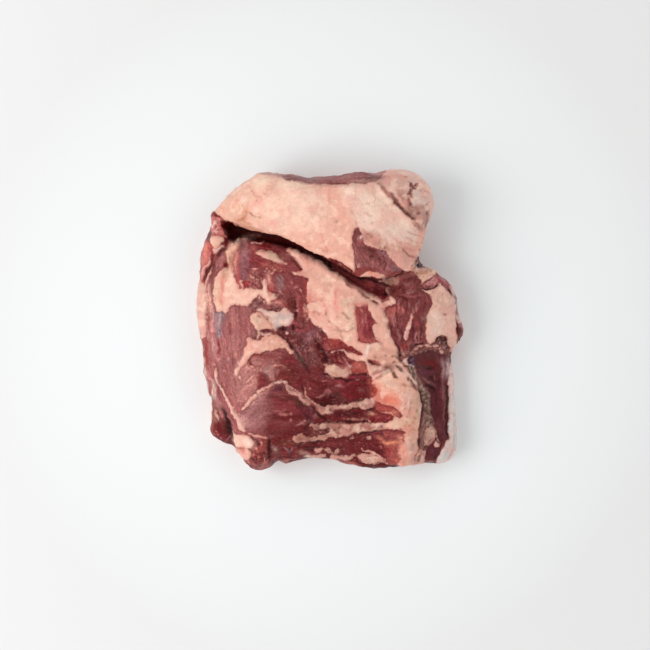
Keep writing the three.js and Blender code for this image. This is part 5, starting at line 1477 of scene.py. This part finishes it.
# ---- The sides, the fold's inside and the underside --------------------------
# Seen from the side the shoulder is in layers: the fat side that it lies on, muscle over it with seams of
# fat, and fat again round the folded flap. The hollow under the flap is dark wet muscle, darkened further
# with painted shade.
# Below, heights are above the ground and places are in the plan, in millimetres.
UNDER_FAT = (228, 186, 172)
SIDE_LEAN = (128, 62, 60)
HIDDEN_LEAN = (110, 40, 42)
LIP_LEAN = (80, 32, 30)
TIP_LEAN = (106, 34, 34)
FAT_BELOW_MM = 9.0
SEAM_AT_MM = 24.0
HALF_SEAM_MM = 1.3
FAT_ABOVE_MM = 45.0
UNDER_COVER_MM = 3.2
GAP_ALONG = (-76, 38)
GAP_ACROSS = (24, 74)
GAP_FLOOR_MM = 12.0
LIP_FLOOR_MM = 28.0
LIP_MIDDLE = -9.0
LIP_REACH = 66.0
HALF_LIP_MM = 5.5
LIP_RUN = "-76,72 -68,68 -62,64 -48,60 -34,59 -24,53.5 -12,46 0,41 12,35.5 20,30 38,29 57,33"
TIP_FROM = 87.0
TIP_MIDDLE = -8.5
HALF_TIP_MM = 8.5
TIP_FLOOR_MM = 11.0
SKIRT_FROM = (78.0, 82.0)
SKIRT_NEARER = (27.0, 34.0)
MEAN_RADIUS_MM = 75.0
side_share = 1.0 - ease(facing[:, 2], -0.12, 0.14) * clear
skirt_share = ease(plan[:, 0], *SKIRT_FROM) * ease(-plan[:, 1], *SKIRT_NEARER) * np.maximum(
    ease(facing[:, 2], -0.05, 0.2), ease(-place[:, 2], -10.0, -6.0) * ease(facing[:, 2], -0.5, 0.0))
side_share *= 1.0 - skirt_share
under_share = ease(-facing[:, 2], 0.2, 0.6)
drift = 4.0 * lumps(place, 22.0, 31) + 1.6 * lumps(place, 6.0, 32) + 0.6 * lumps(place, 2.0, 33)
height = place[:, 2] + drift
layers = np.maximum.reduce(
    [FAT_BELOW_MM - height, HALF_SEAM_MM - np.abs(height - SEAM_AT_MM), height - FAT_ABOVE_MM])
layers = np.maximum(layers, -LEAN_DEPTH)
below = UNDER_COVER_MM + 5.0 * lumps(place, 26.0, 41) + 2.0 * lumps(place, 8.0, 42)
layers += under_share * (np.clip(below, -LEAN_DEPTH, LEAN_DEPTH) - layers)
hidden = ~clear & (place[:, 2] > GAP_FLOOR_MM)
for axis, (low, high) in enumerate((GAP_ALONG, GAP_ACROSS)):
    hidden &= (plan[:, axis] > low) & (plan[:, axis] < high)
from_lip = np.abs(plan[:, 1] - np.interp(plan[:, 0], *knots_of(LIP_RUN).T))
lip_cut = (from_lip < HALF_LIP_MM) & (place[:, 2] > LIP_FLOOR_MM)
lip_cut &= np.abs(plan[:, 0] - LIP_MIDDLE) < LIP_REACH
tip = (plan[:, 0] > TIP_FROM) & (np.abs(plan[:, 1] - TIP_MIDDLE + drift) < HALF_TIP_MM)
tip &= place[:, 2] > TIP_FLOOR_MM + drift
layers[hidden | lip_cut | tip] = -LEAN_DEPTH
fatness = np.clip(fatness, -LEAN_DEPTH, LEAN_DEPTH)
fatness += side_share * (layers - fatness)
side_lean = linear(SIDE_LEAN) * (1.0 + 0.25 * lumps(place, 14.0, 51))[:, None]
side_fat = linear(UNDER_FAT) * (1.0 + 0.06 * lumps(place, 9.0, 52))[:, None]
side_lean[hidden] = linear(HIDDEN_LEAN)
side_lean[lip_cut] = linear(LIP_LEAN)
side_lean[tip] = linear(TIP_LEAN)
lean_colour += side_share[:, None] * (side_lean - lean_colour)
fat_colour += side_share[:, None] * (side_fat - fat_colour)
blood_and_shade *= 1.0 - side_share * ~hidden
# Painted shade, with blood: the hollow under the flap is darkened.
blood_and_shade[hidden] = np.maximum(blood_and_shade[hidden], 0.3)
turned = np.arctan2(plan[:, 1], plan[:, 0]) * MEAN_RADIUS_MM
steep = facing[:, 2] < 0.3
fibre[steep] = np.column_stack([turned, place[:, 2] * 1.2])[steep]
rise *= 1.0 - side_share

# ---- The surface of the meat -------------------------------------------------
# Fat stands about a millimetre proud of the muscle beside it and is softly lumpy. Muscle has its bundles
# of fibres as fine ridges. Both are wet. Their colour is darker in the hollows of the lumps and ridges and
# paler on their crests: painted shade and light.
FAT_STEP_MM = 0.9
FAT_GAIN = np.array([0.93, 0.90, 0.90])
RIDGE_MM = 0.30
FINE_RIDGE_MM = 0.14
DIMPLE_MM = 0.55
CRUMB_MM = 0.5
SETTLED_MM = 2.5
is_fat = ease(fatness, -0.3, 1.1)
bundles = np.column_stack([fibre[:, 0] * 0.09, fibre[:, 1] * 0.8, place[:, 2] * 0.12])
fine = np.column_stack([fibre[:, 0] * 0.22, fibre[:, 1] * 1.9, place[:, 2] * 0.2])
swell = lumps(place, 7.5, 63)
dimple = lumps(place, 2.8, 64)
crumb = lumps(place, 1.5, 65)
ridges = RIDGE_MM * lumps(bundles, 1.0, 61) + FINE_RIDGE_MM * lumps(fine, 1.0, 62)
swelling = rise + FAT_STEP_MM * is_fat * (1.0 - under_share)
swelling += (1.0 - is_fat) * (ridges + torn * (DIMPLE_MM * dimple + CRUMB_MM * crumb))
swelling += (0.5 * swell + 0.2 * dimple) * (0.35 + 0.65 * is_fat)
swelling[place[:, 2] < 0.01] = 0.0
swelling *= ease(place[:, 2], 0.0, SETTLED_MM)
# Painted shade and light: the colour follows the lumps, darker in their hollows.
painted_lump_shade = 1.0 + 0.07 * swell + 0.05 * dimple
steep_share = 1.0 - ease(facing[:, 2], 0.1, 0.6)
knobbly = 0.8 * lumps(place, 6.0, 66) + 0.4 * lumps(place, 2.6, 67)
swelling += steep_share * knobbly * ease(place[:, 2], 0.5, 4.0)
# The lumps' painted shade, and painted shade of the fibre ridges and crumbs on the muscle.
fat_colour *= painted_lump_shade[:, None] * FAT_GAIN
lean_colour *= (painted_lump_shade + 0.25 * ridges + torn * 0.25 * crumb)[:, None]
upward = np.column_stack([facing[:, :2] * 0.6, facing[:, 2] + 0.25 * (facing[:, 2] > 0)])
upward /= np.linalg.norm(upward, axis=1)[:, None]
place += upward * swelling[:, None]
place[:, 2] = np.maximum(place[:, 2], 0.0)
meat.data.vertices.foreach_set("co", (place / 1000.0).ravel())
meat.data.update()

for name, values in (("fatness", fatness), ("blood_and_shade", blood_and_shade), ("marbled", marbled), ("torn", torn)):
    layer = meat.data.attributes.new(name, "FLOAT", "POINT")
    layer.data.foreach_set("value", values.astype(np.float32))
strand = np.column_stack([fibre, place[:, 2]])
for name, values in (("fat_colour", fat_colour), ("lean_colour", lean_colour), ("strand", strand)):
    layer = meat.data.attributes.new(name, "FLOAT_VECTOR", "POINT")
    layer.data.foreach_set("vector", values.astype(np.float32).ravel())

meat_finish, tree = finish_tree("raw lamb")


def reading(name, output="Vector"):
    return wire(tree, "ShaderNodeAttribute", {"attribute_name": name}).outputs[output]


def noise_of(where, scale, detail=2.0, roughness=0.5, output=0):
    return wire(tree, "ShaderNodeTexNoise", Vector=where, Scale=scale, Detail=detail,
                Roughness=roughness).outputs[output]


def spread(value, low, high, to_low=0.0, to_high=1.0):
    """Leads the value smoothly from to_low, at low, to to_high, at high."""
    return wire(tree, "ShaderNodeMapRange", {"interpolation_type": "SMOOTHSTEP"}, Value=value, From_Min=low,
                From_Max=high, To_Min=to_low, To_Max=to_high).outputs[0]


def sum_of(kind, one, two, three=0.0):
    return wire(tree, "ShaderNodeMath", {"operation": kind}, i0=one, i1=two, i2=three).outputs[0]


def stretched(vector, scales):
    return wire(tree, "ShaderNodeVectorMath", {"operation": "MULTIPLY"}, i0=vector, i1=scales).outputs[0]


def dimmed(colour, share):
    return wire(tree, "ShaderNodeVectorMath", {"operation": "SCALE"}, i0=colour, Scale=share).outputs[0]


def tinted(share, one, two):
    """The mix of two, each a colour or a socket."""
    node = wire(tree, "ShaderNodeMix", {"data_type": "RGBA"}, i0=share)
    for socket, value in ((node.inputs[6], one), (node.inputs[7], two)):
        if isinstance(value, bpy.types.NodeSocket):
            tree.links.new(value, socket)
        else:
            socket.default_value = (*value, 1.0)
    return node.outputs[2]


def deepened(share, colour, scales):
    """The colour, multiplied by the scales as far as the share says."""
    return tinted(share, colour, stretched(colour, scales))


PALE_SINEW = (0.56, 0.27, 0.24)
DARK_SEAM = (0.075, 0.007, 0.009)
PALE_TATTER = (0.55, 0.29, 0.25)
DARK_TATTER = (0.055, 0.008, 0.008)
PINK_FAT = (0.80, 0.36, 0.29)
YELLOW_FAT = (0.94, 0.64, 0.49)
LOBULE_LINE = (0.50, 0.19, 0.13)
SOILED_FAT = (0.20, 0.065, 0.055)
THIN_FAT = (0.62, 0.27, 0.215)
THICK_BLOOD_AND_SHADE = (0.05, 0.001, 0.003)
spot_on = wire(tree, "ShaderNodeTexCoord").outputs["Object"]
strands = reading("strand")
ragged = sum_of("MULTIPLY_ADD", noise_of(spot_on, 380.0, 3.0, 0.7), 2.6, -1.3)
fat_edge = sum_of("ADD", reading("fatness", "Fac"), ragged)
share_of_fat = spread(fat_edge, -0.5, 0.5)

# Muscle: bundles of fibres, pale sinew and marbling along them, and torn places.
coarse = noise_of(stretched(strands, (0.06, 0.55, 0.3)), 1.0, 2.0)
medium = noise_of(stretched(strands, (0.2, 1.7, 0.8)), 1.0, 2.0)
hair = noise_of(stretched(strands, (0.5, 4.0, 1.5)), 1.0, 1.0)
grains = noise_of(spot_on, 720.0, 2.0, 0.6)
lean_shade = sum_of("MULTIPLY", spread(coarse, 0.3, 0.7, 0.88, 1.13), spread(medium, 0.25, 0.75, 0.87, 1.14))
lean_shade = sum_of("MULTIPLY", lean_shade, spread(hair, 0.25, 0.75, 0.90, 1.10))
lean_shade = sum_of("MULTIPLY", lean_shade, spread(grains, 0.3, 0.7, 0.86, 1.15))
flecks = noise_of(stretched(strands, (0.42, 1.05, 0.5)), 1.0, 3.0, 0.7)
lean_shade = sum_of("MULTIPLY", lean_shade, spread(flecks, 0.3, 0.7, 0.76, 1.26))
lean_tone = dimmed(reading("lean_colour"), lean_shade)
patches = noise_of(stretched(strands, (0.035, 0.15, 0.1)), 1.0, 2.5)
lean_tone = deepened(spread(patches, 0.46, 0.32, 0.0, 0.55), lean_tone, (0.62, 0.42, 0.45))
lean_tone = deepened(spread(patches, 0.54, 0.68, 0.0, 0.55), lean_tone, (1.30, 1.42, 1.38))
streaks = noise_of(stretched(strands, (0.11, 0.62, 0.3)), 1.0, 4.0, 0.68)
marbling = sum_of("MULTIPLY_ADD", reading("marbled", "Fac"), 0.15, streaks)
lean_tone = tinted(spread(marbling, 0.665, 0.775, 0.0, 0.42), lean_tone, PALE_SINEW)
dark_gaps = noise_of(stretched(strands, (0.09, 0.5, 0.25)), 1.7, 4.0, 0.65)
lean_tone = tinted(spread(dark_gaps, 0.40, 0.28, 0.0, 0.50), lean_tone, DARK_SEAM)
tatters = noise_of(spot_on, 480.0, 4.0, 0.7)
tear_share = reading("torn", "Fac")
pale_tatters = sum_of("MULTIPLY", spread(tatters, 0.54, 0.66, 0.0, 0.75), tear_share)
dark_tatters = sum_of("MULTIPLY", spread(tatters, 0.46, 0.36, 0.0, 0.85), tear_share)
lean_tone = tinted(pale_tatters, lean_tone, PALE_TATTER)
lean_tone = tinted(dark_tatters, lean_tone, DARK_TATTER)
# Painted shade with blood: muscle is darker just beside the step of the fat.
lean_tone = deepened(spread(fat_edge, -1.9, -0.5, 0.0, 0.42), lean_tone, (0.70, 0.45, 0.45))

# Fat: cream lobules a few millimetres wide, parted by pinkish lines, with blushes of pink and yellow.
LOBULE_DRIFT = 0.014
drifted = noise_of(spot_on, 110.0, output="Color")
warped = wire(tree, "ShaderNodeVectorMath", {"operation": "MULTIPLY_ADD"}, i0=drifted,
              i1=(LOBULE_DRIFT,) * 3, i2=spot_on).outputs[0]
fat_tone = reading("fat_colour")
fat_tone = tinted(spread(noise_of(spot_on, 95.0, 1.5), 0.46, 0.66, 0.0, 0.42), fat_tone, PINK_FAT)
fat_tone = tinted(spread(noise_of(spot_on, 150.0, 2.0), 0.47, 0.34, 0.0, 0.42), fat_tone, YELLOW_FAT)
for scale, share, width in ((75.0, 0.36, 0.035), (210.0, 0.22, 0.06)):
    cells = wire(tree, "ShaderNodeTexVoronoi", {"feature": "DISTANCE_TO_EDGE"}, Vector=warped, Scale=scale)
    line = spread(cells.outputs[0], 0.0, width, share, 0.0)
    shown = sum_of("MULTIPLY", line, spread(noise_of(spot_on, scale * 0.7, 2.0), 0.46, 0.60))
    fat_tone = tinted(shown, fat_tone, LOBULE_LINE)
pearls = noise_of(spot_on, 420.0, 3.0, 0.6)
fat_tone = dimmed(fat_tone, spread(pearls, 0.3, 0.7, 0.95, 1.04))
fat_tone = tinted(sum_of("MULTIPLY", dark_tatters, 0.8), fat_tone, SOILED_FAT)
fat_tone = tinted(spread(fat_edge, 2.2, 0.3, 0.0, 0.30), fat_tone, THIN_FAT)

flesh_tone = tinted(share_of_fat, lean_tone, fat_tone)
# Blood, and painted shade in creases, pits and the hollow under the flap, darken the colour towards
# near-black.
blood_and_shade_share = reading("blood_and_shade", "Fac")
flesh_tone = deepened(blood_and_shade_share, flesh_tone, (0.20, 0.045, 0.045))
flesh_tone = tinted(spread(blood_and_shade_share, 0.68, 1.0, 0.0, 0.94), flesh_tone, THICK_BLOOD_AND_SHADE)
lean_relief = sum_of("ADD", sum_of("MULTIPLY", coarse, 0.6), sum_of("MULTIPLY", medium, 0.45))
lean_relief = sum_of("ADD", lean_relief, sum_of("MULTIPLY", tatters, tear_share))
grit = sum_of("MULTIPLY", noise_of(spot_on, 1200.0, 2.0), 0.14)
fat_relief = sum_of("ADD", sum_of("MULTIPLY", pearls, 0.7), grit)
relief = wire(tree, "ShaderNodeMix", {"data_type": "FLOAT"}, i0=share_of_fat, i2=lean_relief, i3=fat_relief)
bump = wire(tree, "ShaderNodeBump", Strength=0.8, Distance=0.0006, Height=relief.outputs[0]).outputs[0]
gloss = spread(noise_of(spot_on, 330.0, 2.0), 0.3, 0.7, 0.30, 0.46)
meat_shader = wire(tree, "ShaderNodeBsdfPrincipled", Base_Color=flesh_tone, Roughness=gloss, Normal=bump,
                   Subsurface_Weight=0.08, Subsurface_Scale=0.0015, Subsurface_Radius=(1.0, 0.35, 0.25),
                   Specular_IOR_Level=0.14)
wire(tree, "ShaderNodeOutputMaterial", Surface=meat_shader.outputs[0])
meat.data.materials.clear()
meat.data.materials.append(meat_finish)
for face in meat.data.polygons:
    face.use_smooth = True

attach(meat, "root")
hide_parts("lamb_shoulder")
